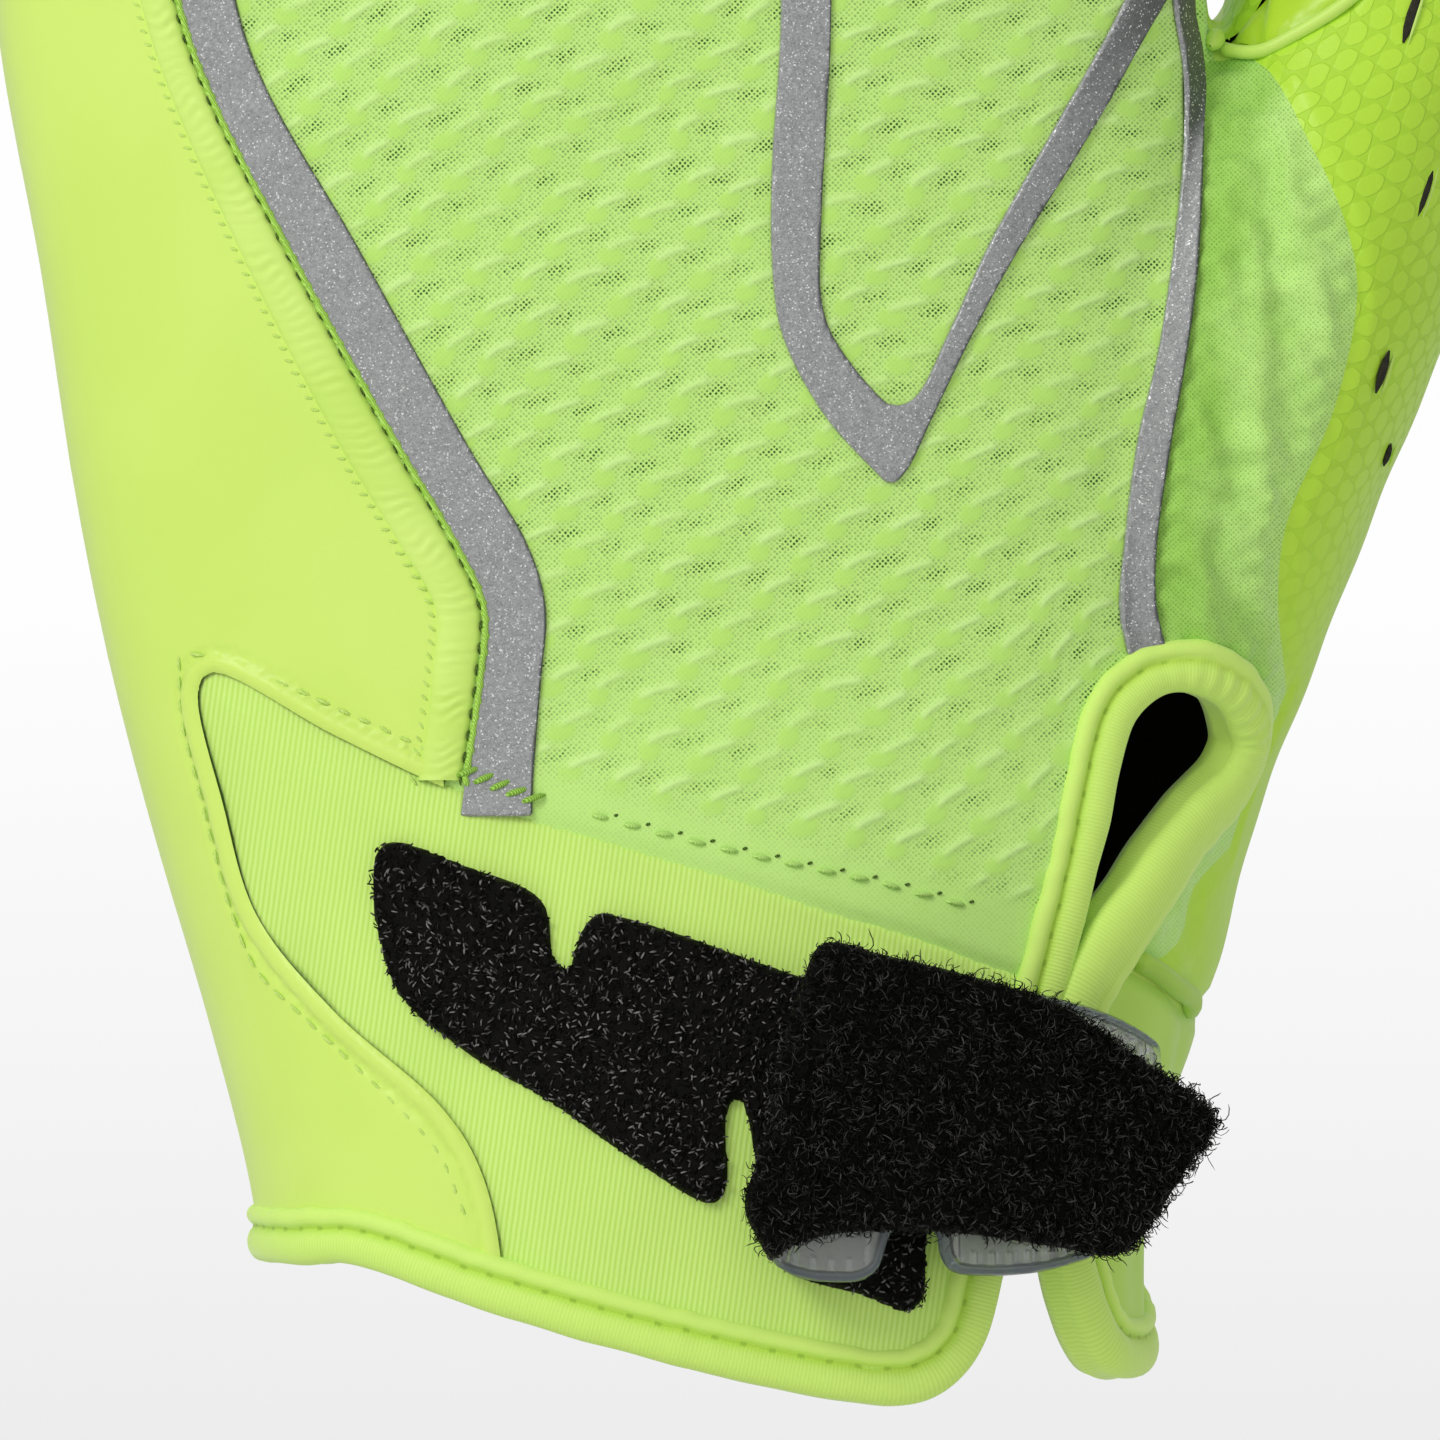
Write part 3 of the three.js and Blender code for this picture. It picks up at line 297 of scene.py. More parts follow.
def unit(vectors: np.ndarray) -> np.ndarray:
    """Vectors brought to length 1."""
    return vectors / np.maximum(np.linalg.norm(vectors, axis=-1, keepdims=True), TINY)


def arch(value: np.ndarray) -> np.ndarray:
    """Height of a round arch that spans -1 to 1."""
    return np.sqrt(np.clip(1.0 - value**2, 0.0, 1.0))


def bell(value: np.ndarray, width: float) -> np.ndarray:
    """Bell curve: 1 at a value of 0, and falling off over a width."""
    return np.exp(-((value / width) ** 2))


def waves(places: np.ndarray, pitch: float, seed: int, count: int = 7) -> np.ndarray:
    """Smooth random undulation.

    Args:
        places: points in millimetres, one row each.
        pitch: rough distance between crests.
        seed: number that fixes the pattern.
        count: how many plain waves are summed.

    Returns:
        One value for each place, mostly between -1 and 1.
    """
    chance = np.random.default_rng(seed)
    total = np.zeros(len(places))
    for _ in range(count):
        direction = unit(chance.normal(size=places.shape[1]))
        length = pitch * chance.uniform(0.7, 1.5)
        total += np.sin(places @ direction * TURN / length + chance.uniform(0.0, 6.28))
    return total / math.sqrt(count)


def spline(knots: np.ndarray, spacing: float, closed: bool = False) -> np.ndarray:
    """Smooth line through knots, with its points at an even spacing.

    Args:
        knots: rows of any number of columns.
        spacing: distance between the points returned.
        closed: whether the line returns to its first knot.

    Returns:
        The points, without a repeated last one if the line is closed.
    """
    if closed:
        held = np.vstack([knots[-1:], knots, knots[:2]])
    else:
        held = np.vstack([2 * knots[:1] - knots[1:2], knots, 2 * knots[-1:] - knots[-2:-1]])
    share = np.linspace(0.0, 1.0, 17)[:-1, None]
    runs = []
    for a, b, c, d in zip(held[:-3], held[1:-2], held[2:-1], held[3:]):
        before, middle, after = (max(np.linalg.norm(q - p) ** 0.5, 1e-4) for p, q in ((a, b), (b, c), (c, d)))
        start = ((b - a) / before - (c - a) / (before + middle) + (c - b) / middle) * middle
        end = ((c - b) / middle - (d - b) / (middle + after) + (d - c) / after) * middle
        square, cube = share**2, share**3
        turn = 2 * cube - 3 * square
        runs.append(b * (turn + 1) - c * turn + start * (cube - 2 * square + share) + end * (cube - square))
    runs.append(knots[:1] if closed else knots[-1:])
    line = np.vstack(runs)
    length = np.concatenate([[0.0], np.cumsum(np.linalg.norm(np.diff(line, axis=0), axis=1))])
    count = max(3, int(round(length[-1] / spacing)) + 1)
    stops = np.linspace(0.0, length[-1], count)
    if closed:
        stops = stops[:-1]
    return np.column_stack([np.interp(stops, length, line[:, k]) for k in range(line.shape[1])])


def scaled(table: tuple[tuple[float, ...], ...]) -> np.ndarray:
    """Rows of (across, up) shares as millimetres."""
    return np.array([(row[0] * HAND_BREADTH, row[1] * BACK_HEIGHT) for row in table])


def rounded(table: tuple[tuple[float, ...], ...], spacing: float) -> np.ndarray:
    """Closed smooth outline through rows of (across, up) shares, in millimetres."""
    return spline(scaled(table), spacing, closed=True)


def strip_edge(table: tuple[tuple[float, ...], ...], column: int) -> np.ndarray:
    """Knots of a strip's left edge (column 1) or right edge (column 2), in millimetres."""
    return scaled(tuple((row[column], row[0]) for row in table))


def strip_outline(table: tuple[tuple[float, ...], ...]) -> np.ndarray:
    """Outline of a strip table: up its right edge and down its left, in millimetres."""
    return np.vstack([spline(strip_edge(table, 2), 1.5), spline(strip_edge(table, 1), 1.5)[::-1]])


def inside_distance(places: np.ndarray, outline: np.ndarray) -> np.ndarray:
    """Distance from the edge of an outline, positive inside.

    Args:
        places: (x, z) rows.
        outline: corners of a closed outline.

    Returns:
        One signed distance for each place.
    """
    best = np.full(len(places), np.inf)
    inside = np.zeros(len(places), dtype=bool)
    for a, b in zip(outline, np.roll(outline, -1, axis=0)):
        edge = b - a
        away = places - a
        share = np.clip(away @ edge / max(edge @ edge, TINY), 0.0, 1.0)
        gap = away - share[:, None] * edge
        best = np.minimum(best, (gap**2).sum(axis=1))
        if abs(edge[1]) > TINY:
            crossing = a[0] + (places[:, 1] - a[1]) / edge[1] * edge[0]
            inside ^= ((a[1] > places[:, 1]) != (b[1] > places[:, 1])) & (places[:, 0] < crossing)
    return np.where(inside, 1.0, -1.0) * np.sqrt(best)


def tuck_place(across: object, up: object) -> tuple[object, object]:
    """Column and row of the knit's lattice at a place in millimetres."""
    size = TUCK_STEP[0] * TUCK_ROW[1] - TUCK_STEP[1] * TUCK_ROW[0]
    return (across * TUCK_ROW[1] - up * TUCK_ROW[0]) / size, (up * TUCK_STEP[0] - across * TUCK_STEP[1]) / size


def side_seam(height: np.ndarray) -> np.ndarray:
    """Depth of the seam between back and palm, which curls with the fingers."""
    return FINGER_CURL * (np.maximum(0.0, height - BACK_HEIGHT) / FINGER_REACH) ** 2


@dataclass
class Surface:
    """Triangles in millimetres, with a normal and named values at each point."""

    points: np.ndarray
    faces: np.ndarray
    normals: np.ndarray
    values: dict[str, np.ndarray] = field(default_factory=dict)

    @classmethod
    def of(cls, points: np.ndarray, faces: np.ndarray, **values: np.ndarray) -> "Surface":
        """Surface whose normals come from its own triangles.

        Args:
            points: places of the points.
            faces: the triangles.
            values: named numbers, one for each point.

        Returns:
            the new surface.
        """
        corners = points[faces]
        across = np.cross(corners[:, 1] - corners[:, 0], corners[:, 2] - corners[:, 0])
        normals = np.zeros_like(points)
        for k in range(3):
            np.add.at(normals, faces[:, k], across)
        return cls(points, faces, unit(normals), dict(values))

    def noted(self, **values: np.ndarray) -> "Surface":
        """The same surface with these values alone."""
        return Surface(self.points, self.faces, self.normals, values)

    def picked(self, faces: np.ndarray) -> "Surface":
        """The same points, cut down to those that the given faces use.

        Args:
            faces: triangles to keep.

        Returns:
            a surface without unused points.
        """
        used, fresh = np.unique(faces, return_inverse=True)
        kept = {name: value[used] for name, value in self.values.items()}
        return Surface(self.points[used], fresh.reshape(-1, 3), self.normals[used], kept)

    def clipped(self, level: np.ndarray) -> "Surface":
        """The part where level is positive, cut straight through the triangles on its edge.

        Args:
            level: one value for each point.

        Returns:
            A new surface whose points on the cut have the value "edge" of 0, if it has one.
        """
        level = np.where(np.abs(level) < 1e-6, 1e-6, level)
        inside = (level > 0)[self.faces]
        count = inside.sum(axis=1)
        one, two = self.faces[count == 1], self.faces[count == 2]
        lone = np.argmax(inside[count == 1], axis=1)
        odd = np.argmin(inside[count == 2], axis=1)
        one = np.take_along_axis(one, (lone[:, None] + np.arange(3)) % 3, axis=1)
        two = np.take_along_axis(two, (odd[:, None] + np.arange(3)) % 3, axis=1)
        edges = np.vstack([one[:, [0, 1]], one[:, [0, 2]], two[:, [0, 1]], two[:, [0, 2]]])
        if len(edges) == 0:
            return self.picked(self.faces[count == 3])
        pairs, index = np.unique(np.sort(edges, axis=1), axis=0, return_inverse=True)
        index = index.reshape(-1) + len(self.points)
        share = level[pairs[:, 0]] / (level[pairs[:, 0]] - level[pairs[:, 1]])

        def added(values: np.ndarray) -> np.ndarray:
            """Values of the old points and of the new ones on the cut."""
            weight = share if values.ndim == 1 else share[:, None]
            return np.concatenate([values, values[pairs[:, 0]] * (1 - weight) + values[pairs[:, 1]] * weight])

        n, m = len(one), len(two)
        parts = np.split(index, [n, 2 * n, 2 * n + m])
        faces = np.vstack([
            self.faces[count == 3],
            np.column_stack([one[:, 0], parts[0], parts[1]]),
            np.column_stack([parts[2], two[:, 1], two[:, 2]]),
            np.column_stack([parts[2], two[:, 2], parts[3]]),
        ])
        values = {name: added(value) for name, value in self.values.items()}
        if "edge" in values:
            values["edge"][len(self.points):] = 0.0
        whole = Surface(added(self.points), faces, unit(added(self.normals)), values)
        return whole.picked(faces)

    def refined(self) -> "Surface":
        """Every triangle split in four, with the new points raised onto the curved surface.

        Returns:
            the finer surface.
        """
        edges = np.vstack([self.faces[:, [0, 1]], self.faces[:, [1, 2]], self.faces[:, [2, 0]]])
        pairs, index = np.unique(np.sort(edges, axis=1), axis=0, return_inverse=True)
        ab, bc, ca = np.split(index.reshape(-1) + len(self.points), 3)
        a, b = self.points[pairs[:, 0]], self.points[pairs[:, 1]]
        na, nb = self.normals[pairs[:, 0]], self.normals[pairs[:, 1]]
        rise = ((b - a) * na).sum(axis=1)[:, None] * na + ((a - b) * nb).sum(axis=1)[:, None] * nb
        middle = (a + b) / 2 - rise / 8
        corner = self.faces.T
        faces = np.vstack([
            np.column_stack([corner[0], ab, ca]),
            np.column_stack([corner[1], bc, ab]),
            np.column_stack([corner[2], ca, bc]),
            np.column_stack([ab, bc, ca]),
        ])
        values = {
            name: np.concatenate([value, (value[pairs[:, 0]] + value[pairs[:, 1]]) / 2])
            for name, value in self.values.items()
        }
        normals = np.vstack([self.normals, unit(na + nb)])
        return Surface(np.vstack([self.points, middle]), faces, normals, values)

    def welded(self) -> "Surface":
        """Points that lie together become one.

        Returns:
            the surface without doubled points.
        """
        _, first, index = np.unique(np.round(self.points, 4), axis=0, return_index=True, return_inverse=True)
        values = {name: value[first] for name, value in self.values.items()}
        faces = index.reshape(-1)[self.faces]
        sound = (faces[:, 0] != faces[:, 1]) & (faces[:, 1] != faces[:, 2]) & (faces[:, 2] != faces[:, 0])
        return Surface(self.points[first], faces[sound], self.normals[first], values)

    def joined(self, *others: "Surface") -> "Surface":
        """This surface and others as one, with the values that all of them have.

        Args:
            others: surfaces to add.

        Returns:
            one surface.
        """
        parts = (self,) + others
        names = set.intersection(*(set(part.values) for part in parts))
        starts = np.cumsum([0] + [len(part.points) for part in parts[:-1]])
        return Surface(
            np.vstack([part.points for part in parts]),
            np.vstack([part.faces + start for part, start in zip(parts, starts)]),
            np.vstack([part.normals for part in parts]),
            {name: np.concatenate([part.values[name] for part in parts]) for name in names},
        )

    def raised(self, height: np.ndarray | float) -> "Surface":
        """The surface moved along its normals, in millimetres."""
        rise = np.broadcast_to(np.asarray(height, dtype=float), (len(self.points),))
        return Surface(self.points + self.normals * rise[:, None], self.faces, self.normals, self.values)

    def doubled_areas(self) -> np.ndarray:
        """Twice the area of each triangle, in square millimetres."""
        a, b, c = (self.points[self.faces[:, k]] for k in range(3))
        return np.linalg.norm(np.cross(b - a, c - a), axis=1)

    def area(self) -> float:
        """Area in square metres."""
        return float(self.doubled_areas().sum() / 2 * MM * MM)


def grid_faces(rows: int, columns: int, around: bool = False) -> np.ndarray:
    """Triangles of a grid of points stored row by row, closed round its columns if asked.

    Args:
        rows: number of rows.
        columns: points in each row.
        around: whether the last column meets the first one.

    Returns:
        indices, three to a triangle.
    """
    across = columns if around else columns - 1
    row, column = np.meshgrid(np.arange(rows - 1), np.arange(across), indexing="ij")
    a = (row * columns + column).ravel()
    b = (row * columns + (column + 1) % columns).ravel()
    return np.vstack([np.column_stack([a, b, b + columns]), np.column_stack([a, b + columns, a + columns])])


def remade(points: np.ndarray, faces: list[list[int]], **modifiers: dict[str, object]) -> Surface:
    """Runs modifiers over a mesh.

    Args:
        points: its points in millimetres.
        faces: its faces.
        modifiers: settings of each modifier, under its type.

    Returns:
        The result in triangles.
    """
    mesh = bpy.data.meshes.new("form")
    mesh.from_pydata(points.tolist(), [], faces)
    form = bpy.data.objects.new("form", mesh)
    bpy.context.scene.collection.objects.link(form)
    for kind, settings in modifiers.items():
        modifier = form.modifiers.new(kind, kind)
        for name, value in settings.items():
            setattr(modifier, name, value)
    made = bpy.data.meshes.new_from_object(form.evaluated_get(bpy.context.evaluated_depsgraph_get()))
    made.calc_loop_triangles()
    corners = np.empty(len(made.vertices) * 3)
    made.vertices.foreach_get("co", corners)
    triangles = np.empty(len(made.loop_triangles) * 3, dtype=np.int32)
    made.loop_triangles.foreach_get("vertices", triangles)
    bpy.data.objects.remove(form)
    bpy.data.meshes.remove(mesh)
    bpy.data.meshes.remove(made)
    return Surface.of(corners.reshape(-1, 3), triangles.reshape(-1, 3).astype(int))


def tubes(lines: np.ndarray, normals: np.ndarray, radii: np.ndarray, sides: int, flat: float = 1.0) -> Surface:
    """Many short tubes, one along each line.

    Args:
        lines: (count, points, 3) centre lines.
        normals: (count, points, 3) directions away from the cloth.
        radii: (count, points) radii.
        sides: corners of a tube's section.
        flat: height of the section as a share of its width.

    Returns:
        All the tubes as one surface.
    """
    count, steps = lines.shape[:2]
    tangents = unit(np.gradient(lines, axis=1))
    beside = unit(np.cross(tangents, normals))
    above = np.cross(beside, tangents)
    turn = np.arange(sides) / sides * TURN
    ring = np.cos(turn)[:, None] * beside[:, :, None, :] + flat * np.sin(turn)[:, None] * above[:, :, None, :]
    points = lines[:, :, None, :] + radii[:, :, None, None] * ring
    one = grid_faces(steps, sides, around=True)
    faces = (one[None] + (np.arange(count) * steps * sides)[:, None, None]).reshape(-1, 3)
    return Surface.of(points.reshape(-1, 3), faces)


def colour(red: int, green: int, blue: int) -> tuple[float, float, float, float]:
    """Screen colour of 0 to 255 as the linear colour that shaders use."""
    parts = [((c / 255 + 0.055) / 1.055) ** 2.4 if c > 10 else c / 255 / 12.92 for c in (red, green, blue)]
    return (parts[0], parts[1], parts[2], 1.0)


class Wire:
    """Output of a node. Arithmetic on it adds further nodes."""

    def __init__(self, graph: "Graph", socket: bpy.types.NodeSocket) -> None:
        """Keeps the socket and the graph that it belongs to."""
        self.graph = graph
        self.socket = socket

    def __add__(self, other: object) -> "Wire":
        """Sum."""
        return self.graph.math("ADD", self, other)

    def __sub__(self, other: object) -> "Wire":
        """Difference."""
        return self.graph.math("SUBTRACT", self, other)

    def __rsub__(self, other: object) -> "Wire":
        """Difference from a plain number."""
        return self.graph.math("SUBTRACT", other, self)

    def __mul__(self, other: object) -> "Wire":
        """Product."""
        return self.graph.math("MULTIPLY", self, other)

    def __truediv__(self, other: object) -> "Wire":
        """Quotient."""
        return self.graph.math("DIVIDE", self, other)


class Graph:
    """Node tree of one material, with short calls that add nodes and join them."""

    def __init__(self, name: str) -> None:
        """Starts a material with a principled shader and coordinates in millimetres.

        Args:
            name: name of the material.
        """
        self.material = bpy.data.materials.new(name)
        self.material.use_nodes = True
        self.tree = self.material.node_tree
        self.shader = self.tree.nodes["Principled BSDF"]
        scale = self.add("ShaderNodeVectorMath", operation="SCALE")
        scale.inputs["Scale"].default_value = 1.0 / MM
        self.feed(scale.inputs[0], self.add("ShaderNodeTexCoord").outputs["Object"])
        self.place = Wire(self, scale.outputs["Vector"])

    def add(self, kind: str, **settings: object) -> bpy.types.Node:
        """A new node with some of its settings changed.

        Args:
            kind: Blender's name of the node.
            settings: values of its properties.

        Returns:
            the node.
        """
        node = self.tree.nodes.new(kind)
        for name, value in settings.items():
            setattr(node, name, value)
        return node

    def feed(self, socket: bpy.types.NodeSocket, value: object) -> None:
        """Joins an output to a socket, or sets the socket to a plain value.

        Args:
            socket: input to fill.
            value: an output or a plain value.
        """
        value = value.socket if isinstance(value, Wire) else value
        if isinstance(value, bpy.types.NodeSocket):
            self.tree.links.new(value, socket)
        else:
            socket.default_value = value

    def length(self, x: object, y: object) -> Wire:
        """Length of a flat vector.

        Args:
            x: first part.
            y: second part.

        Returns:
            the value's output.
        """
        node = self.add("ShaderNodeVectorMath", operation="LENGTH")
        self.feed(node.inputs[0], self.merge(x, y))
        return Wire(self, node.outputs["Value"])

    def math(self, operation: str, a: object, b: object = 0.0) -> Wire:
        """Arithmetic on two numbers.

        Args:
            operation: Blender's name of it.
            a: first number.
            b: second number.

        Returns:
            the value's output.
        """
        node = self.add("ShaderNodeMath", operation=operation)
        self.feed(node.inputs[0], a)
        self.feed(node.inputs[1], b)
        return Wire(self, node.outputs[0])

    def ramp(self, value: object, low: float, high: float, start: float = 0.0, end: float = 1.0) -> Wire:
        """Smooth change from start to end while a value goes from low to high.

        Args:
            value: what is measured.
            low: value at the start.
            high: value at the end.
            start: result up to low.
            end: result from high on.

        Returns:
            the value's output.
        """
        node = self.add("ShaderNodeMapRange", interpolation_type="SMOOTHSTEP")
        names = ("Value", "From Min", "From Max", "To Min", "To Max")
        for name, item in zip(names, (value, low, high, start, end)):
            self.feed(node.inputs[name], item)
        return Wire(self, node.outputs[0])

    def mix(self, share: object, a: Wire | Rgb, b: Wire | Rgb) -> Wire:
        """Colour between a and b, each of them an output or a screen colour.

        Args:
            share: 0 for a, 1 for b.
            a: first colour.
            b: second colour.

        Returns:
            the colour's output.
        """
        node = self.add("ShaderNodeMix", data_type="RGBA")
        self.feed(node.inputs[0], share)
        for socket, item in zip(node.inputs[6:8], (a, b)):
            self.feed(socket, colour(*item) if isinstance(item, tuple) else item)
        return Wire(self, node.outputs[2])

    def split(self, vector: object) -> list[Wire]:
        """The three parts of a vector.

        Args:
            vector: the vector's output.

        Returns:
            one output for each axis.
        """
        node = self.add("ShaderNodeSeparateXYZ")
        self.feed(node.inputs[0], vector)
        return [Wire(self, part) for part in node.outputs]

    def merge(self, *parts: object) -> Wire:
        """A vector from its first numbers.

        Args:
            parts: its numbers, in the order x, y and z.

        Returns:
            the vector's output.
        """
        node = self.add("ShaderNodeCombineXYZ")
        for socket, item in zip(node.inputs, parts):
            self.feed(socket, item)
        return Wire(self, node.outputs[0])

    def noise(self, scale: float, detail: float = 2.0, rough: float = 0.5) -> Wire:
        """Cloudy value from 0 to 1, with about scale clouds to a millimetre.

        Args:
            scale: clouds to a millimetre.
            detail: number of finer layers.
            rough: strength of those layers.

        Returns:
            the value's output.
        """
        node = self.add("ShaderNodeTexNoise")
        self.feed(node.inputs["Vector"], self.place)
        node.inputs["Scale"].default_value = scale
        node.inputs["Detail"].default_value = detail
        node.inputs["Roughness"].default_value = rough
        return Wire(self, node.outputs["Fac"])

    def mottle(self, scale: float, detail: float, start: float, end: float) -> Wire:
        """Clouds that go from start to end."""
        return self.ramp(self.noise(scale, detail), 0.3, 0.7, start, end)

    def cells(self, scale: float, place: object = None, randomness: float = 1.0) -> bpy.types.Node:
        """Voronoi cells, with about scale cells to a millimetre.

        Args:
            scale: cells to a millimetre.
            place: where the cells are read.
            randomness: 0 for a regular grid.

        Returns:
            the node, with its outputs.
        """
        node = self.add("ShaderNodeTexVoronoi", feature="F1")
        self.feed(node.inputs["Vector"], self.place if place is None else place)
        node.inputs["Scale"].default_value = scale
        node.inputs["Randomness"].default_value = randomness
        return node

    def value(self, name: str) -> Wire:
        """A value stored at the mesh's points."""
        return Wire(self, self.add("ShaderNodeAttribute", attribute_name=name).outputs["Fac"])

    def bump(self, height: object, distance: float, strength: float = 1.0, after: object = None) -> Wire:
        """Relief in the shading, with its distance in millimetres.

        Args:
            height: the relief.
            distance: its depth.
            strength: its share from 0 to 1.
            after: normal of a relief below it.

        Returns:
            the normal's output.
        """
        node = self.add("ShaderNodeBump")
        self.feed(node.inputs["Height"], height)
        node.inputs["Distance"].default_value = distance * MM
        node.inputs["Strength"].default_value = strength
        if after is not None:
            self.feed(node.inputs["Normal"], after)
        return Wire(self, node.outputs[0])

    def finish(self, base: object, normal: object, roughness: object, **sockets: float) -> bpy.types.Material:
        """Joins colour, relief and roughness to the shader and sets its other sockets.

        Args:
            base: colour.
            normal: relief.
            roughness: roughness.
            sockets: further inputs of the shader, with _ for a space.

        Returns:
            the material.
        """
        self.feed(self.shader.inputs["Base Color"], base)
        self.feed(self.shader.inputs["Normal"], normal)
        self.feed(self.shader.inputs["Roughness"], roughness)
        for name, value in sockets.items():
            self.shader.inputs[name.replace("_", " ")].default_value = value
        return self.material


@dataclass(frozen=True)
class SatinGrip:
    """Smooth grip coating of the palm and the little-finger side."""

    name: str = "satin_grip"
    pale: Rgb = (212, 241, 113)
    deep: Rgb = (208, 238, 107)
    gloss: float = 0.4

    def build(self) -> bpy.types.Material:
        """Material with very faint mottling, pores and soft handling marks.

        Returns:
            the material.
        """
        g = Graph(self.name)
        mottle = g.noise(0.06, 2.0)
        base = g.mix(g.ramp(mottle, 0.35, 0.65), self.deep, self.pale)
        pores = g.noise(3.2, 2.0)
        drape = g.noise(0.08, 1.0)
        normal = g.bump(drape, 0.3, 0.3, g.bump(pores, 0.03, 0.25))
        rough = g.mottle(0.2, 2.0, self.gloss - 0.03, self.gloss + 0.05)
        return g.finish(base, normal, rough, Specular_IOR_Level=0.42, Sheen_Weight=0.12, Sheen_Roughness=0.4)


@dataclass(frozen=True)
class MeshKnit:
    """Fine knit with small open holes and slanted tucks, which follow the values "column" and "row"."""

    name: str = "mesh_knit"
    body: Rgb = (199, 241, 134)
    # Colour of the painted highlight along the tucks' crests
    crest: Rgb = (211, 248, 154)
    patch: Rgb = (191, 237, 116)
    # Colour of the painted shade seen in the knit's open holes
    hole_shade: Rgb = (52, 92, 16)
    pitch: float = 0.31
    faint: float = 0.42
    dark: float = 0.95
    rise: float = 0.1
    diagonal: float = 0.7071

    @staticmethod
    def window(g: Graph, across: float, up: float) -> tuple[Wire, ...]:
        """Place beside the nearest spot that lies at an offset from a tuck.

        Args:
            g: node tree that is being built.
            across: offset of the spot from the middle of its tuck, in millimetres.
            up: the same upwards.

        Returns:
            Distance along the slant, distance over it, and a number that is random from tuck to tuck.
        """
        column, row = tuck_place(across, up)
        column = g.value("column") - column
        row = g.value("row") - row
        near_column, near_row = g.math("ROUND", column), g.math("ROUND", row)
        column, row = column - near_column, row - near_row
        x = column * TUCK_STEP[0] + row * TUCK_ROW[0]
        z = column * TUCK_STEP[1] + row * TUCK_ROW[1]
        cos, sin = g.math("COSINE", g.value("slant")), g.math("SINE", g.value("slant"))
        along = x * cos + z * sin
        over = z * cos - x * sin
        chance = g.add("ShaderNodeTexWhiteNoise", noise_dimensions="2D")
        g.feed(chance.inputs["Vector"], g.merge(near_column, near_row))
        return along, over, Wire(g, chance.outputs["Value"])

    def build(self) -> bpy.types.Material:
        """Material with tucks whose crests carry a painted highlight, smooth patches, a staggered lattice of holes
        filled with painted shade, and a soft sheen.

        Returns:
            the material.
        """
        g = Graph(self.name)
        tucked = g.value("tuck")
        along, over, chance = self.window(g, 0.0, 0.0)
        over = over + along * along * 0.07
        ends = g.ramp(g.math("ABSOLUTE", along), 0.9, 1.75, 1.0, 0.0)
        edge = g.ramp(over, -0.35, 0.2) * g.ramp(over, 0.1, 0.85, 1.0, 0.0)
        crest = ends * edge * (tucked * g.ramp(chance, 0.0, 0.6, 0.6, 1.0))
        along, over, chance = self.window(g, -1.2, -1.1)
        spread = g.length(along / 1.05, over / 0.8)
        patch = g.ramp(spread, 0.6, 1.25, 1.0, 0.0) * tucked
        along, over, chance = self.window(g, 1.75, -0.2)
        spread = g.length(along / 1.7, over / 0.6)
        band = g.ramp(spread, 0.15, 1.15, 1.0, 0.0) * (tucked * g.ramp(chance, 0.0, 1.0, 0.45, 1.0))

        x, _, z = g.split(g.place)
        wobble = g.noise(0.8, 1.0) * 0.18
        u = (x + z) * self.diagonal + wobble
        v = (z - x) * self.diagonal + wobble
        lattice = g.cells(1.0 / self.pitch, g.merge(u, v), 0.2)
        lattice.voronoi_dimensions = "2D"
        spot = g.ramp(lattice.outputs["Distance"], 0.16, 0.46, 1.0, 0.0)
        chance = g.split(lattice.outputs["Color"])[0]
        open_cloth = 1.0 - g.math("MAXIMUM", patch, crest) * 0.85
        strength = band * self.dark + self.faint
        strength = strength * open_cloth * g.ramp(chance, 0.0, 1.0, 0.6, 1.2)
        strength = strength * g.value("mesh")
        dark = g.math("MINIMUM", spot * strength, 1.0)
        base = g.mix(patch, self.body, self.patch)
        # Painted highlight: the crests of the tucks are lightened towards the crest colour
        base = g.mix(crest, base, self.crest)
        base = g.mix(g.mottle(0.22, 3.0, 0.0, 0.25), base, self.patch)
        base = g.mix(g.value("shade"), base, self.patch)
        # Painted shade: the open holes are darkened towards the hole colour
        base = g.mix(dark, base, self.hole_shade)
        fuzz = g.noise(7.0, 2.0)
        relief = crest + patch * 0.35
        normal = g.bump(relief, self.rise, 1.0, g.bump(fuzz, 0.04, 0.4))
        normal = g.bump(spot * strength, 0.12, -0.8, normal)
        rough = g.ramp(fuzz, 0.3, 0.7, 0.6, 0.76)
        return g.finish(base, normal, rough, Specular_IOR_Level=0.25, Sheen_Weight=0.3, Sheen_Roughness=0.4)


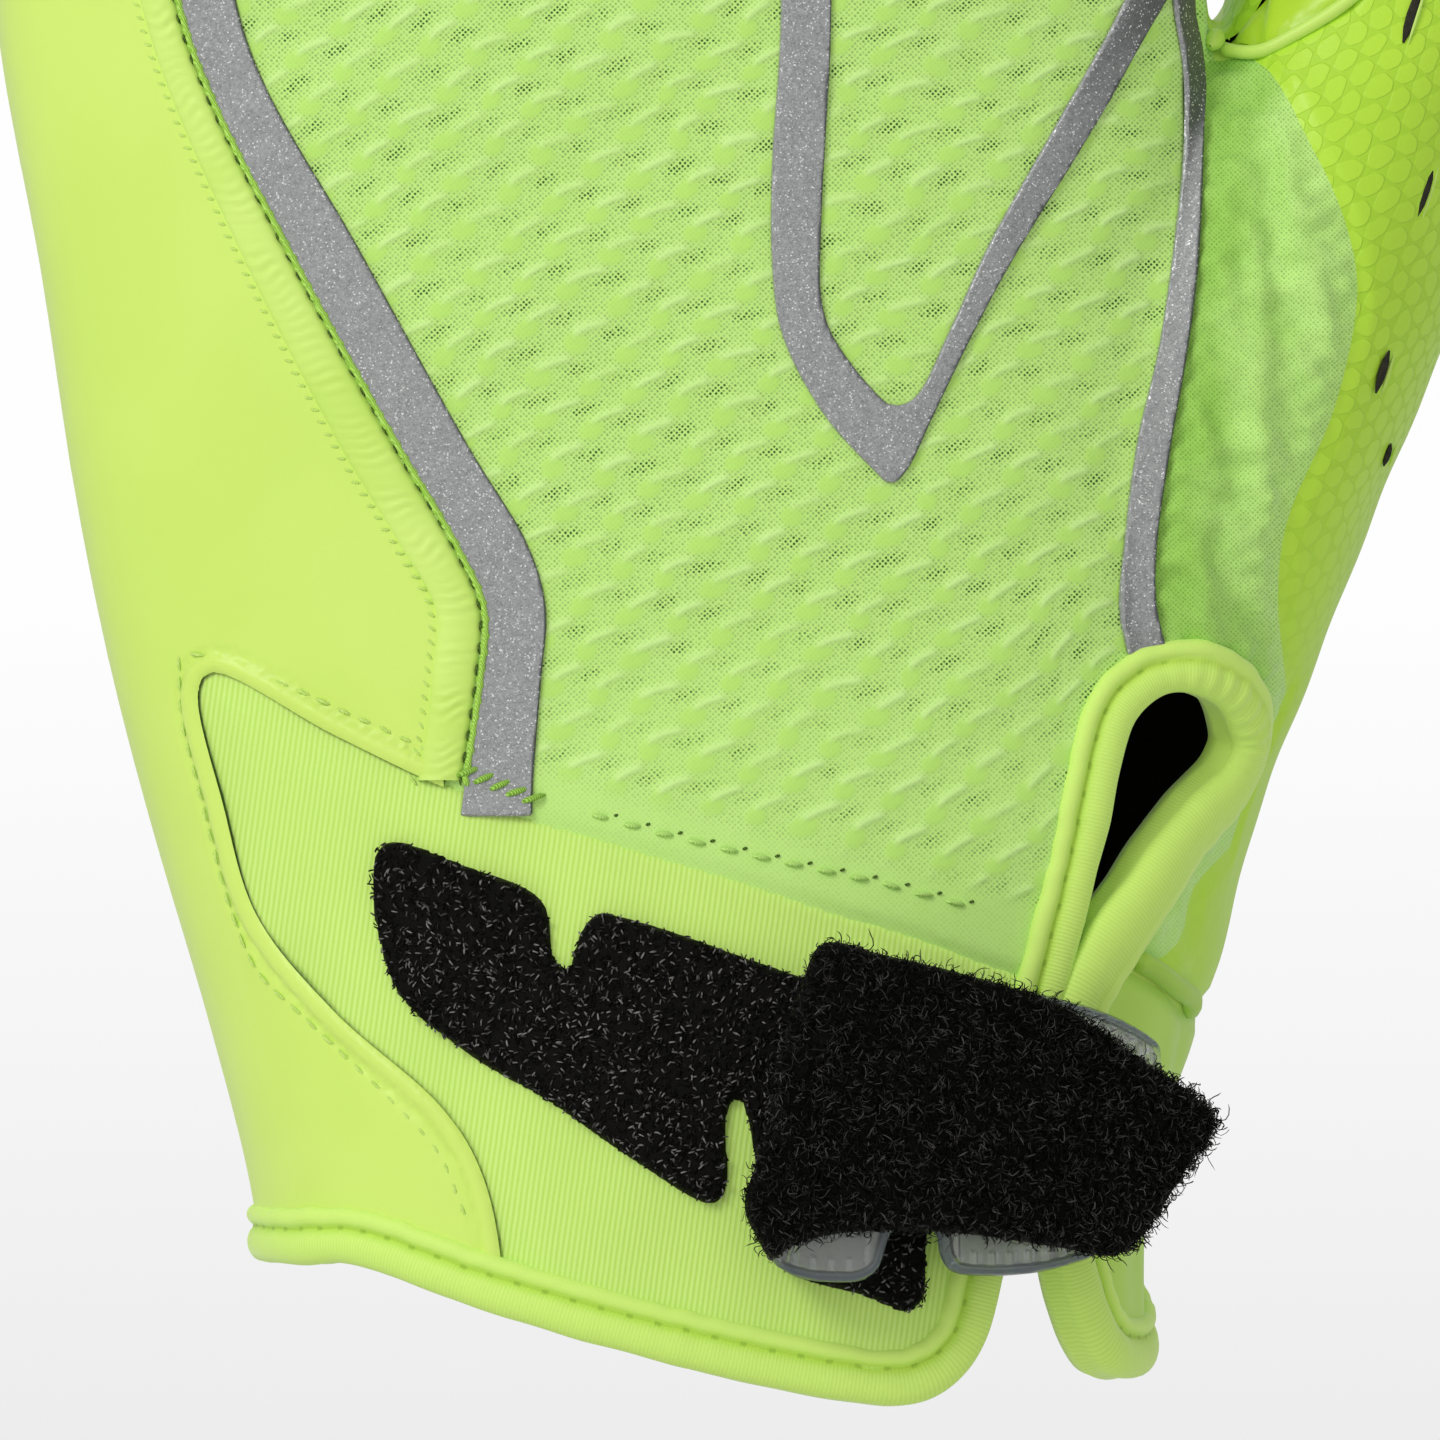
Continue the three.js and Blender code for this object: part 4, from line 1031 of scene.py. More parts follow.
@dataclass(frozen=True)
class ScaledGrip:
    """Embossed grip coating: rounded six-sided scales between fine grooves, which fade out to the wrist."""

    name: str = "scaled_grip"
    pale: Rgb = (190, 234, 64)
    deep: Rgb = (164, 212, 44)
    pitch: float = 2.2

    def build(self) -> bpy.types.Material:
        """Material from three crossed waves, whose lows are the grooves, darkened by painted shade.

        Returns:
            the material.
        """
        g = Graph(self.name)
        u = g.value("round") + g.noise(0.3, 1.0) * 1.3
        v = g.value("rise") + g.noise(0.33, 1.0) * 1.3
        total: object = 0.0
        for turn in (0.0, 60.0, 120.0):
            along = u * math.cos(math.radians(turn)) + v * math.sin(math.radians(turn))
            total = g.math("COSINE", along * (TURN / (self.pitch * 0.866))) + total
        clear = g.ramp(g.value("rise"), 48.0, 84.0, 0.12, 1.0)
        groove = g.ramp(total, -1.05, -0.72, 1.0, 0.0) * clear
        plate = 1.0 - groove
        # Painted shade: the grooves are darkened half way to the deep colour
        base = g.mix(groove * 0.5, self.pale, self.deep)
        base = g.mix(g.mottle(0.1, 2.0, 0.0, 0.2), base, self.deep)
        normal = g.bump(plate, 0.1, 0.6, g.bump(g.noise(4.0, 2.0), 0.05, 0.35))
        rough = g.ramp(plate, 0.0, 1.0, 0.5, 0.4)
        return g.finish(base, normal, rough, Specular_IOR_Level=0.35, Sheen_Weight=0.03, Sheen_Roughness=0.4)


@dataclass(frozen=True)
class RibbedJersey:
    """Jersey facing of the cuff's foam, with fine upright ribs."""

    name: str = "ribbed_jersey"
    pale: Rgb = (211, 245, 130)
    deep: Rgb = (192, 231, 103)
    pitch: float = 0.43
    slant: float = -0.14

    def build(self) -> bpy.types.Material:
        """Material with ribs, painted shade between them and a soft sheen.

        Returns:
            the material.
        """
        g = Graph(self.name)
        x, _, z = g.split(g.place)
        across = x + z * self.slant + g.noise(0.5, 1.0) * 0.08
        rib = g.math("SINE", across * (TURN / self.pitch))
        rib = g.ramp(rib, -1.0, 0.6)
        # Painted shade: the valleys between the ribs take the deep colour
        base = g.mix(rib, self.deep, self.pale)
        base = g.mix(g.mottle(0.12, 2.0, 0.0, 0.12), base, self.deep)
        normal = g.bump(rib, 0.03, 0.6, g.bump(g.noise(6.0, 2.0), 0.03, 0.4))
        rough = g.ramp(rib, 0.0, 1.0, 0.8, 0.66)
        return g.finish(base, normal, rough, Specular_IOR_Level=0.25, Sheen_Weight=0.35, Sheen_Roughness=0.45)


@dataclass(frozen=True)
class BindingTape:
    """Elastic binding with fine ribs across it."""

    name: str = "binding_tape"
    pale: Rgb = (212, 246, 120)
    deep: Rgb = (184, 226, 80)
    # Colour of the painted shade in the ditch between the two rolls
    ditch: Rgb = (186, 226, 76)
    stitch: Rgb = (124, 168, 40)
    pitch: float = 0.3
    stitch_pitch: float = 2.3

    def build(self) -> bpy.types.Material:
        """Material whose ribs follow the value "along" and deepen on the edge roll, with painted shade down in its
        ditch.

        Returns:
            the material.
        """
        g = Graph(self.name)
        along = g.value("along") + g.noise(0.5, 1.0) * 0.15
        rib = g.ramp(g.math("SINE", along * (TURN / self.pitch)), -1.0, 0.7)
        roll = g.value("lobe")
        depth = rib * g.ramp(roll, 0.0, 1.0, 0.25, 1.0)
        shade = 1.0 - (1.0 - rib) * g.ramp(roll, 0.0, 1.0, 0.06, 0.3)
        base = g.mix(shade, self.deep, self.pale)
        # Painted shade: the ditch darkens where the value "pit" is high
        base = g.mix(g.value("pit"), base, self.ditch)
        sewn = g.ramp(g.math("SINE", along * (TURN / self.stitch_pitch)), 0.55, 0.9, 0.0, 0.45)
        base = g.mix(sewn * g.ramp(g.value("pit"), 0.6, 0.95), base, self.stitch)
        normal = g.bump(depth, 0.025, 0.5, g.bump(g.noise(6.0, 2.0), 0.03, 0.4))
        return g.finish(base, normal, 0.62, Specular_IOR_Level=0.3, Sheen_Weight=0.3, Sheen_Roughness=0.4)


@dataclass(frozen=True)
class ReflectiveFilm:
    """Silver heat-pressed film of glass beads."""

    name: str = "reflective_film"
    pale: Rgb = (186, 187, 187)
    deep: Rgb = (112, 114, 114)
    # Colour of the painted shade where the film turns to the right, away from the key light
    turned_shade: Rgb = (52, 54, 58)
    # Colour of the painted glint on the brightest beads
    bead_glint: Rgb = (236, 237, 236)
    beads: float = 9.5

    def build(self) -> bpy.types.Material:
        """Material with bright and dark grains, fine creases, painted glints on its brightest beads and painted
        shade where it turns to the right.

        Returns:
            the material.
        """
        g = Graph(self.name)
        grain = g.cells(self.beads)
        bead = g.split(grain.outputs["Color"])[0]
        cloud = g.noise(2.2, 3.0)
        base = g.mix((bead + cloud) * 0.5, self.deep, self.pale)
        # Painted shade: the film darkens as its normal turns to the right
        turned_shade = g.split(g.add("ShaderNodeNewGeometry").outputs["Normal"])[0]
        base = g.mix(g.ramp(turned_shade, 0.15, 0.75, 0.0, 0.8), base, self.turned_shade)
        # Painted glint: the brightest beads are whitened
        base = g.mix(g.ramp(bead, 0.92, 1.0), base, self.bead_glint)
        crease = g.noise(0.5, 3.0)
        normal = g.bump(bead, 0.03, 0.6, g.bump(crease, 0.3, 0.5))
        rough = g.ramp(bead, 0.0, 1.0, 0.52, 0.3)
        return g.finish(base, normal, rough, Metallic=0.25, Specular_IOR_Level=0.5)


@dataclass(frozen=True)
class BlackPile:
    """Black nylon of the hook patch and the loop pad, lighter where the value "glint" is high."""

    name: str = "black_pile"
    dark: Rgb = (10, 9, 6)
    light: Rgb = (92, 91, 88)
    grain: float = 4.5
    gloss: float = 0.4

    def build(self) -> bpy.types.Material:
        """Material with a dense pile and painted glints on a few fibres.

        Returns:
            the material.
        """
        g = Graph(self.name)
        pile = g.noise(self.grain, 3.0, rough=0.7)
        glint = g.value("glint")
        # Painted glint: fibres with a high value "glint" are lightened towards the light colour
        shade = glint * glint * g.ramp(pile, 0.2, 0.8, 0.6, 1.0)
        base = g.mix(shade, self.dark, self.light)
        normal = g.bump(pile, 0.2, 0.7, g.bump(g.noise(self.grain * 2.6, 2.0), 0.08, 0.7))
        rough = g.ramp(pile, 0.4, 0.7, self.gloss + 0.15, self.gloss - 0.1)
        return g.finish(base, normal, rough, Specular_IOR_Level=0.08)


@dataclass(frozen=True)
class ClearMoulding:
    """Clear grey rubber of the closing strap, with a raised slate rim and short ribs inside it."""

    name: str = "clear_moulding"
    body: Rgb = (214, 218, 212)
    slate: Rgb = (146, 156, 166)
    rib_pitch: float = 1.4

    def build(self) -> bpy.types.Material:
        """Material that lets light through and follows the value "rim", the distance from the edge.

        Returns:
            the material.
        """
        g = Graph(self.name)
        rim = g.value("rim")
        base = g.mix(g.ramp(rim, 0.45, 0.85, 1.0, 0.0), self.body, self.slate)
        x, _, _ = g.split(g.place)
        inside = g.ramp(rim, 0.85, 1.05) * g.ramp(rim, 1.7, 2.1, 1.0, 0.0)
        rib = g.ramp(g.math("SINE", x * (TURN / self.rib_pitch)), -0.2, 0.9) * inside
        # Painted highlight: the short ribs are whitened
        base = g.mix(rib * 0.6, base, (250, 251, 250))
        normal = g.bump(g.noise(1.2, 2.0), 0.06, 0.4, g.bump(g.noise(8.0, 2.0), 0.02, 0.4))
        normal = g.bump(rib, 0.2, 0.8, g.bump(g.ramp(rim, 0.6, 0.95, 1.0, 0.0), 0.35, 1.0, normal))
        return g.finish(base, normal, g.mottle(1.1, 2.0, 0.08, 0.18), Specular_IOR_Level=0.6,
                        Transmission_Weight=0.75, IOR=1.42)


@dataclass(frozen=True)
class Thread:
    """Twisted sewing thread."""

    name: str = "thread"
    pale: Rgb = (172, 214, 76)
    deep: Rgb = (122, 170, 40)
    turns: float = 26.0

    def build(self) -> bpy.types.Material:
        """Material with the strands' twist as slanted ribs, with painted shade between the strands.

        Returns:
            the material.
        """
        g = Graph(self.name)
        x, y, z = g.split(g.place)
        twist = g.math("SINE", (x + y + z * 0.6) * self.turns)
        # Painted shade: the lows of the twist take the deep colour
        base = g.mix(g.ramp(twist, -1.0, 1.0), self.deep, self.pale)
        normal = g.bump(twist, 0.05, 0.7, g.bump(g.noise(9.0, 2.0), 0.03, 0.5))
        return g.finish(base, normal, g.ramp(twist, -1.0, 1.0, 0.6, 0.45), Specular_IOR_Level=0.35)


@dataclass(frozen=True)
class Lining:
    """Tricot inside the glove, near-black as painted shade for the dark inside of the shell."""

    name: str = "lining"
    dark: Rgb = (16, 17, 12)
    light: Rgb = (30, 32, 24)

    def build(self) -> bpy.types.Material:
        """Material with a fine brushed knit.

        Returns:
            the material.
        """
        g = Graph(self.name)
        base = g.mix(g.noise(2.5, 3.0), self.dark, self.light)
        return g.finish(base, g.bump(g.noise(3.5, 2.0), 0.15, 0.6), g.mottle(1.0, 2.0, 0.85, 0.95),
                        Specular_IOR_Level=0.15)


class Finish(Enum):
    """Finishes of the pieces, each a recipe with its own colours."""

    PALM = SatinGrip()
    CUFF_SIDE = SatinGrip("cuff_grip", (190, 230, 96), (184, 225, 88), 0.5)
    THUMB_INSIDE = SatinGrip("thumb_inside", (190, 226, 60), (168, 208, 44), 0.3)
    RIDGE = SatinGrip("ridge_cloth", (212, 242, 122), (200, 234, 104), 0.5)
    PIPING = SatinGrip("piping", (206, 240, 110), (190, 230, 90), 0.4)
    HEEL_ROLL = SatinGrip("heel_roll", (180, 222, 84), (168, 210, 70), 0.45)
    SLIT_RIM = SatinGrip("slit_rim", (206, 238, 120), (196, 230, 100))
    SCALES = ScaledGrip()
    KNIT = MeshKnit()
    GUSSET = MeshKnit("gusset_knit", (200, 244, 138), (206, 246, 148), (152, 206, 80), (70, 114, 26), 0.27, 0.4)
    JERSEY = RibbedJersey()
    TAPE = BindingTape()
    FILM = ReflectiveFilm()
    HOOKS = BlackPile("hook_pile", (9, 8, 6), (158, 156, 152), 4.5, 0.36)
    LOOPS = BlackPile("loop_pile", (8, 8, 6), (96, 95, 92), 3.2, 0.42)
    MOULDING = ClearMoulding()
    BRIGHT_THREAD = Thread("bright_thread", (190, 236, 108), (150, 204, 60))
    SHADE_THREAD = Thread("shade_thread", (96, 130, 36), (50, 74, 14))
    PALE_THREAD = Thread("pale_thread", (214, 243, 134), (196, 232, 104))
    SEAM_THREAD = Thread("seam_thread", (176, 226, 96), (120, 168, 44))
    TUFT_THREAD = Thread("tuft_thread", (204, 244, 138), (176, 226, 104))
    LINING = Lining()
    # Painted shade inside the thumb's slits
    SLIT = Lining("slit_shade", (34, 32, 26), (62, 60, 50))


class Workshop:
    """Makes Blender objects from surfaces and gives each finish its one material."""

    def __init__(self) -> None:
        """Starts with no materials."""
        self.materials: dict[Finish, bpy.types.Material] = {}

    def material(self, finish: Finish) -> bpy.types.Material:
        """The material of a finish, built once.

        Args:
            finish: the finish.

        Returns:
            its material.
        """
        if finish not in self.materials:
            self.materials[finish] = finish.value.build()
        return self.materials[finish]

    def make(self, name: str, surface: Surface, finish: Finish, slot: str, *nodes: str) -> bpy.types.Object:
        """Turns a surface into a piece that rides on the glove.

        Args:
            name: name of the piece.
            surface: its triangles.
            finish: its finish.
            slot: the record's material slot; not used.
            nodes: CAD nodes that the piece stands for.

        Returns:
            The new object.
        """
        mesh = bpy.data.meshes.new(name)
        mesh.from_pydata((surface.points * MM).tolist(), [], surface.faces.tolist())
        for key, value in surface.values.items():
            mesh.attributes.new(key, "FLOAT", "POINT").data.foreach_set("value", value.astype(np.float32))
        mesh.polygons.foreach_set("use_smooth", [True] * len(mesh.polygons))
        mesh.materials.append(self.material(finish))
        mesh.update()
        piece = bpy.data.objects.new(name, mesh)
        bpy.context.scene.collection.objects.link(piece)
        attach(piece, "root")
        if nodes:
            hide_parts(*nodes)
        LOG.info("%s: %d triangles", name, len(surface.faces))
        return piece


@dataclass
class HandForm:
    """The worn glove's outside as one smooth skin."""

    voxel: float = 1.0
    smoothing: int = 14
    front_top: float = 124.0
    outside: float = 120.0
    too_deep: float = 6.0
    skin: Surface = field(init=False)
    tree: BVHTree = field(init=False)

    def __post_init__(self) -> None:
        """Builds the skin and the tree that finds places on it."""
        tip = self.rows(THUMB_TIP_SECTIONS, THUMB_CROTCH * BACK_HEIGHT, THUMB_REACH)
        thumb = np.vstack([self.rows(THUMB_SECTIONS), tip])
        self.skin = self.skinned([self.column(self.rows(HAND_SECTIONS)), self.column(thumb)] + self.fingers())
        self.tree = BVHTree.FromPolygons(self.skin.points.tolist(), self.skin.faces.tolist())

    @staticmethod
    def rows(table: tuple[tuple[float, ...], ...], base: float = 0.0, height: float = BACK_HEIGHT) -> np.ndarray:
        """Sections in millimetres, with their heights as shares of a height over a base."""
        scale = np.array([height, HAND_BREADTH, HAND_BREADTH, HAND_DEPTH, HAND_DEPTH, HAND_DEPTH, 1.0])
        return np.array(table) * scale + np.array([base, 0.0, 0.0, 0.0, 0.0, 0.0, 0.0])

    @staticmethod
    def column(rows: np.ndarray, sides: int = 72) -> np.ndarray:
        """Rings of rounded-box sections, smooth from row to row.

        Args:
            rows: height, left, right, middle, back, palm and power of each section.
            sides: points in a ring.

        Returns:
            (rings, sides, 3) points.
        """
        turn = np.arange(sides) / sides * TURN
        rings = []
        for height, left, right, middle, back, palm, power in spline(rows, 2.0):
            wide, deep = (np.sign(part) * np.abs(part) ** (2 / power) for part in (np.cos(turn), np.sin(turn)))
            x = wide * (right - left) / 2 + (left + right) / 2
            y = middle + deep * np.where(np.sin(turn) < 0, back, palm)
            rings.append(np.column_stack([x, y, np.full(sides, height)]))
        return np.array(rings)

    @staticmethod
    def fingers(sides: int = 48) -> list[np.ndarray]:
        """Rings of each finger, leaning and curling.

        Args:
            sides: points in each ring.

        Returns:
            one array of rings for each finger.
        """
        turn = np.arange(sides) / sides * TURN
        shapes = []
        for root, reach, width, lean in FINGERS:
            reach, width, lean = reach * FINGER_REACH, width * FINGER_WIDTH, math.radians(lean)
            sections = np.array(FINGER_SECTIONS) * np.array([reach, width / 2, width / 2])
            rings = []
            for along, wide, deep in spline(sections, 2.0):
                height = BACK_HEIGHT + along * math.cos(lean)
                x = root * HAND_BREADTH + along * math.sin(lean) + np.cos(turn) * math.cos(lean) * wide
                y = side_seam(np.array(height)) + np.sin(turn) * deep
                z = height - np.cos(turn) * math.sin(lean) * wide
                rings.append(np.column_stack([x, y, z]))
            shapes.append(np.array(rings))
        return shapes

    def skinned(self, shapes: list[np.ndarray]) -> Surface:
        """Joins closed shapes into one skin by a fine remesh and evens it.

        Args:
            shapes: the closed shapes.

        Returns:
            the skin.
        """
        points, faces = [], []
        for rings in shapes:
            start = sum(len(p) for p in points)
            count, sides = rings.shape[:2]
            points.append(rings.reshape(-1, 3))
            faces += (grid_faces(count, sides, around=True) + start).tolist()
            faces.append([start + j for j in reversed(range(sides))])
            faces.append([start + (count - 1) * sides + j for j in range(sides)])
        return remade(np.vstack(points), faces, REMESH={"mode": "VOXEL", "voxel_size": self.voxel},
                      SMOOTH={"factor": 0.5, "iterations": self.smoothing})

    def drape(self, places: np.ndarray, side: Side = Side.BACK) -> tuple[np.ndarray, np.ndarray]:
        """Places on the skin under (x, z) rows.

        Args:
            places: where to look, in millimetres.
            side: side of the hand that is looked at.

        Returns:
            The points and the smooth normals there.
        """
        points = np.empty((len(places), 3))
        faces = np.empty(len(places), dtype=int)
        away = side.value
        for i, (x, z) in enumerate(places.tolist()):
            spot, _, face, _ = self.tree.ray_cast(Vector((x, away * self.outside, z)), Vector((0.0, -away, 0.0)))
            if spot is None or spot.y * away < -self.too_deep:
                spot, _, face, _ = self.tree.find_nearest(Vector((x, away * 2.0, z)))
            points[i] = spot
            faces[i] = face
        corners = self.skin.faces[faces]
        gaps = np.linalg.norm(self.skin.points[corners] - points[:, None, :], axis=2) + 1e-3
        weights = (1 / gaps) / (1 / gaps).sum(axis=1, keepdims=True)
        return points, unit((self.skin.normals[corners] * weights[:, :, None]).sum(axis=1))


@dataclass
class Binding:
    """Ribbed binding in one loop round the hem, the slit and the keyhole."""

    form: HandForm
    spacing: float = 0.35
    edge_roll: float = 2.9
    cloth_roll: float = 1.6
    edge_rise: float = 1.15
    cloth_rise: float = 0.85
    easing: int = 28
    path: np.ndarray = field(init=False)
    out: np.ndarray = field(init=False)
    look: np.ndarray = field(init=False)

    def __post_init__(self) -> None:
        """Lays the route of the ditch on the skin."""
        rows = []
        for across, up, side, width, ditch in BINDING_ROUTE:
            point, normal = self.form.drape(np.array([[across * HAND_BREADTH, up * BACK_HEIGHT]]), Side(side))
            rows.append(np.concatenate([point[0], normal[0] * 4.0, [width, ditch]]))
        line = spline(np.array(rows), self.spacing, closed=True)
        for _ in range(self.easing):
            line = (np.roll(line, 1, axis=0) + 2 * line + np.roll(line, -1, axis=0)) / 4
        self.path, self.out, self.look = line[:, :3], unit(line[:, 3:6]), line[:, 6:]

    def opening_level(self, surface: Surface) -> np.ndarray:
        """Distance from the ditch, positive on the cloth that stays.

        Args:
            surface: cloth that the binding edges.

        Returns:
            One value for each point, which is only a large number well above the cuff.
        """
        flat = self.path[:, [0, 2]][::4]
        on_back = self.path[::4, 1] < 0
        first = int(np.argmax(on_back & ~np.roll(on_back, 1)))
        flat, on_back = np.roll(flat, -first, axis=0), np.roll(on_back, -first)
        back, palm = flat[on_back], flat[~on_back]
        far = 90.0
        back = np.vstack([back, [[far, back[-1, 1]], [far, -far], [-far, -far], [-far, back[0, 1]]]])
        palm = np.vstack([palm, [[-far, palm[-1, 1]], [-far, -far], [far, -far], [far, palm[0, 1]]]])
        places = surface.points[:, [0, 2]]
        low = places[:, 1] < 70.0
        level = np.full(len(places), 20.0)
        on_back = surface.points[low, 1] < 0
        ahead, behind = (inside_distance(places[low], outline) for outline in (back, palm))
        level[low] = -np.where(on_back, ahead, behind)
        return level

    def section(self, width: float, ditch: float) -> tuple[np.ndarray, np.ndarray, np.ndarray]:
        """Profile of the two rolls.

        Args:
            width: width of the edge roll as a share of its usual one.
            ditch: depth of the ditch as a share.

        Returns:
            (along, out) rows, which roll each lies on and how deep in the ditch it is.
        """
        turn = np.linspace(math.pi * 1.12, 0.0, 15)
        reach = self.edge_roll * width / 2
        edge = np.column_stack([np.cos(turn) * reach - reach, np.sin(turn) * self.edge_rise * width])
        turn = np.linspace(math.pi, -0.35, 10)[1:]
        half = self.cloth_roll / 2
        thin = np.column_stack([np.cos(turn) * half + half, np.sin(turn) * self.cloth_rise])
        top = np.vstack([edge, thin])
        top[:, 1] = np.maximum(top[:, 1], 0.5 - 0.9 * np.abs(top[:, 0]))
        turn = np.linspace(math.pi * 1.12, -0.35, len(top))
        reach = (self.edge_roll * width + self.cloth_roll) / 2
        across = np.cos(turn) * reach + self.cloth_roll - reach
        single = np.column_stack([across, np.sin(turn) * self.edge_rise * 1.45])
        top = top * ditch + single * (1 - ditch)
        under = np.array([[1.1, -1.9], [0.0, -2.7], [-1.6, -3.1], [-2.7 * width, -2.6], [-3.0 * width, -1.5]])
        lobe = np.concatenate([np.ones(15), np.zeros(9), np.ones(5)])
        pit = np.concatenate([bell(top[:, 0], 0.35) * ditch, np.zeros(5)])
        return np.vstack([top, under]), lobe, pit

    def surface(self) -> Surface:
        """The binding swept round its route.

        Returns:
            the binding's surface.
        """
        count = len(self.path)
        travel = np.arange(count) * self.spacing
        tangent = unit(np.roll(self.path, -1, axis=0) - np.roll(self.path, 1, axis=0))
        to_cloth = unit(np.cross(self.out, tangent))
        out = unit(np.cross(tangent, to_cloth))
        chance = waves(travel[:, None], 9.0, 5)
        fine = waves(travel[:, None], 3.4, 6)
        bend = self.path[:, [0, 2]] - np.array([0.445 * HAND_BREADTH, 0.37 * BACK_HEIGHT])
        pucker = 0.16 * np.exp(-(bend**2).sum(axis=1) / 20.0) * np.sin(travel * TURN / 1.9)
        rings, lobes, pits = [], [], []
        for i in range(count):
            profile, lobe, pit = self.section(self.look[i, 0], self.look[i, 1])
            puff = 1.0 + 0.025 * chance[i] + 0.012 * fine[i]
            along = profile[:, 0] * puff + 0.03 * fine[i]
            rise = profile[:, 1] * np.where(profile[:, 1] > 0, puff + pucker[i] * (profile[:, 0] < 0), 1.0)
            rings.append(self.path[i] + along[:, None] * to_cloth[i] + rise[:, None] * out[i])
            lobes.append(lobe)
            pits.append(pit)
        for run in (rings, lobes, pits):
            run.append(run[0])
        points = np.array(rings)
        sides = points.shape[1]
        along = np.repeat(np.append(travel, travel[-1] + self.spacing), sides)
        return Surface.of(points.reshape(-1, 3), grid_faces(count + 1, sides, around=True), along=along,
                          lobe=np.concatenate(lobes), pit=np.concatenate(pits))


@dataclass(frozen=True)
class Stitch:
    """Kind of stitch: sizes in millimetres, its slant from the line in degrees and the rise of its middle."""

    pitch: float
    length: float
    width: float
    slant: float
    lift: float


@dataclass
class Needlework:
    """Stitches and thread laid on the skin."""

    form: HandForm
    seed: int = 11

    def stitches(self, places: np.ndarray, kind: Stitch) -> Surface:
        """Separate stitches along a line of (x, z) places.

        Args:
            places: knots of the line, in millimetres.
            kind: sizes of the stitches.

        Returns:
            All stitches as one surface.
        """
        chance = np.random.default_rng(self.seed)
        line = spline(places, kind.pitch)
        ahead, up = unit(np.gradient(line, axis=0)).T
        turn = math.radians(kind.slant) + chance.normal(0.0, 0.06, len(line))
        cos, sin = np.cos(turn), np.sin(turn)
        heading = np.column_stack([ahead * cos - up * sin, ahead * sin + up * cos])
        steps = np.linspace(-0.5, 0.5, 7)
        spots = line[:, None, :] + heading[:, None, :] * (steps * kind.length)[None, :, None]
        points, normals = self.form.drape(spots.reshape(-1, 2))
        points, normals = points.reshape(len(line), 7, 3), normals.reshape(len(line), 7, 3)
        height = np.cos(steps * math.pi) ** 0.5 * kind.lift - 0.1
        points = points + normals * height[None, :, None]
        radii = kind.width / 2 * np.tile(np.array([0.35, 0.8, 1.0, 1.05, 1.0, 0.8, 0.35]), (len(line), 1))
        return tubes(points, normals, radii, 7, 0.8)

    def strip(self, left: np.ndarray, right: np.ndarray, rise: float, pucker: float, pitch: float,
              columns: int = 15, step: float = 0.3) -> Surface:
        """Gathered strip of cloth between two edges of (x, z) places.

        Args:
            left: knots of the left edge.
            right: knots of the right edge, as many as the left has.
            rise: height of the strip's middle above the skin.
            pucker: depth of its gathers as a share of the rise.
            pitch: distance from gather to gather.
            columns: points across the strip.
            step: distance between its rows.

        Returns:
            The strip as one surface.
        """
        both = spline(np.hstack([left, right]), step * 1.414)
        share = np.linspace(0.0, 1.0, columns)
        spots = both[:, None, :2] * (1 - share)[None, :, None] + both[:, None, 2:] * share[None, :, None]
        points, normals = self.form.drape(spots.reshape(-1, 2))
        travel = np.repeat(np.arange(len(both)) * step, columns)
        across = np.tile(share, len(both))
        drift = waves(np.column_stack([travel / 4.0, across * 2.0]), 2.0, self.seed)
        phase = travel / pitch + 0.3 * drift + 0.25 * np.sin(across * 5.0)
        depth = pucker * (0.6 + 0.4 * waves(travel[:, None], 5.0, self.seed + 1))
        dome = arch(2 * across - 1)
        height = dome * rise * (1.0 + depth * np.sin(phase * TURN)) - 0.15 * (1 - dome)
        return Surface.of(points + normals * height[:, None], grid_faces(len(both), columns))

    def cord(self, places: np.ndarray, radius: float, lift: float, step: float = 0.5,
             behind: np.ndarray | None = None) -> Surface:
        """A plain round roll along a line of (x, z) places on the back, which may go on over the palm.

        Args:
            places: knots on the back, in millimetres.
            radius: radius of the roll.
            lift: height of its middle above the skin.
            step: distance between its sections.
            behind: knots on the palm, if it goes on there.

        Returns:
            The roll, with rounded ends.
        """
        line = spline(places, step)
        points, normals = self.form.drape(line)
        if behind is not None:
            far = self.form.drape(spline(behind, 1.5), Side.PALM)
            knots = np.vstack([np.hstack([points[::3], normals[::3]]), np.hstack(far)])
            line = spline(knots, step)
            for _ in range(10):
                line[1:-1] = (line[:-2] + 2 * line[1:-1] + line[2:]) / 4
            points, normals = line[:, :3], unit(line[:, 3:])
        count = np.arange(len(line))
        taper = np.minimum(1.0, np.minimum(count, count[::-1]) * step / radius + 0.003)
        points = points + normals * lift
        return tubes(points[None], normals[None], (radius * np.sqrt(2 * taper - taper**2))[None], 12)


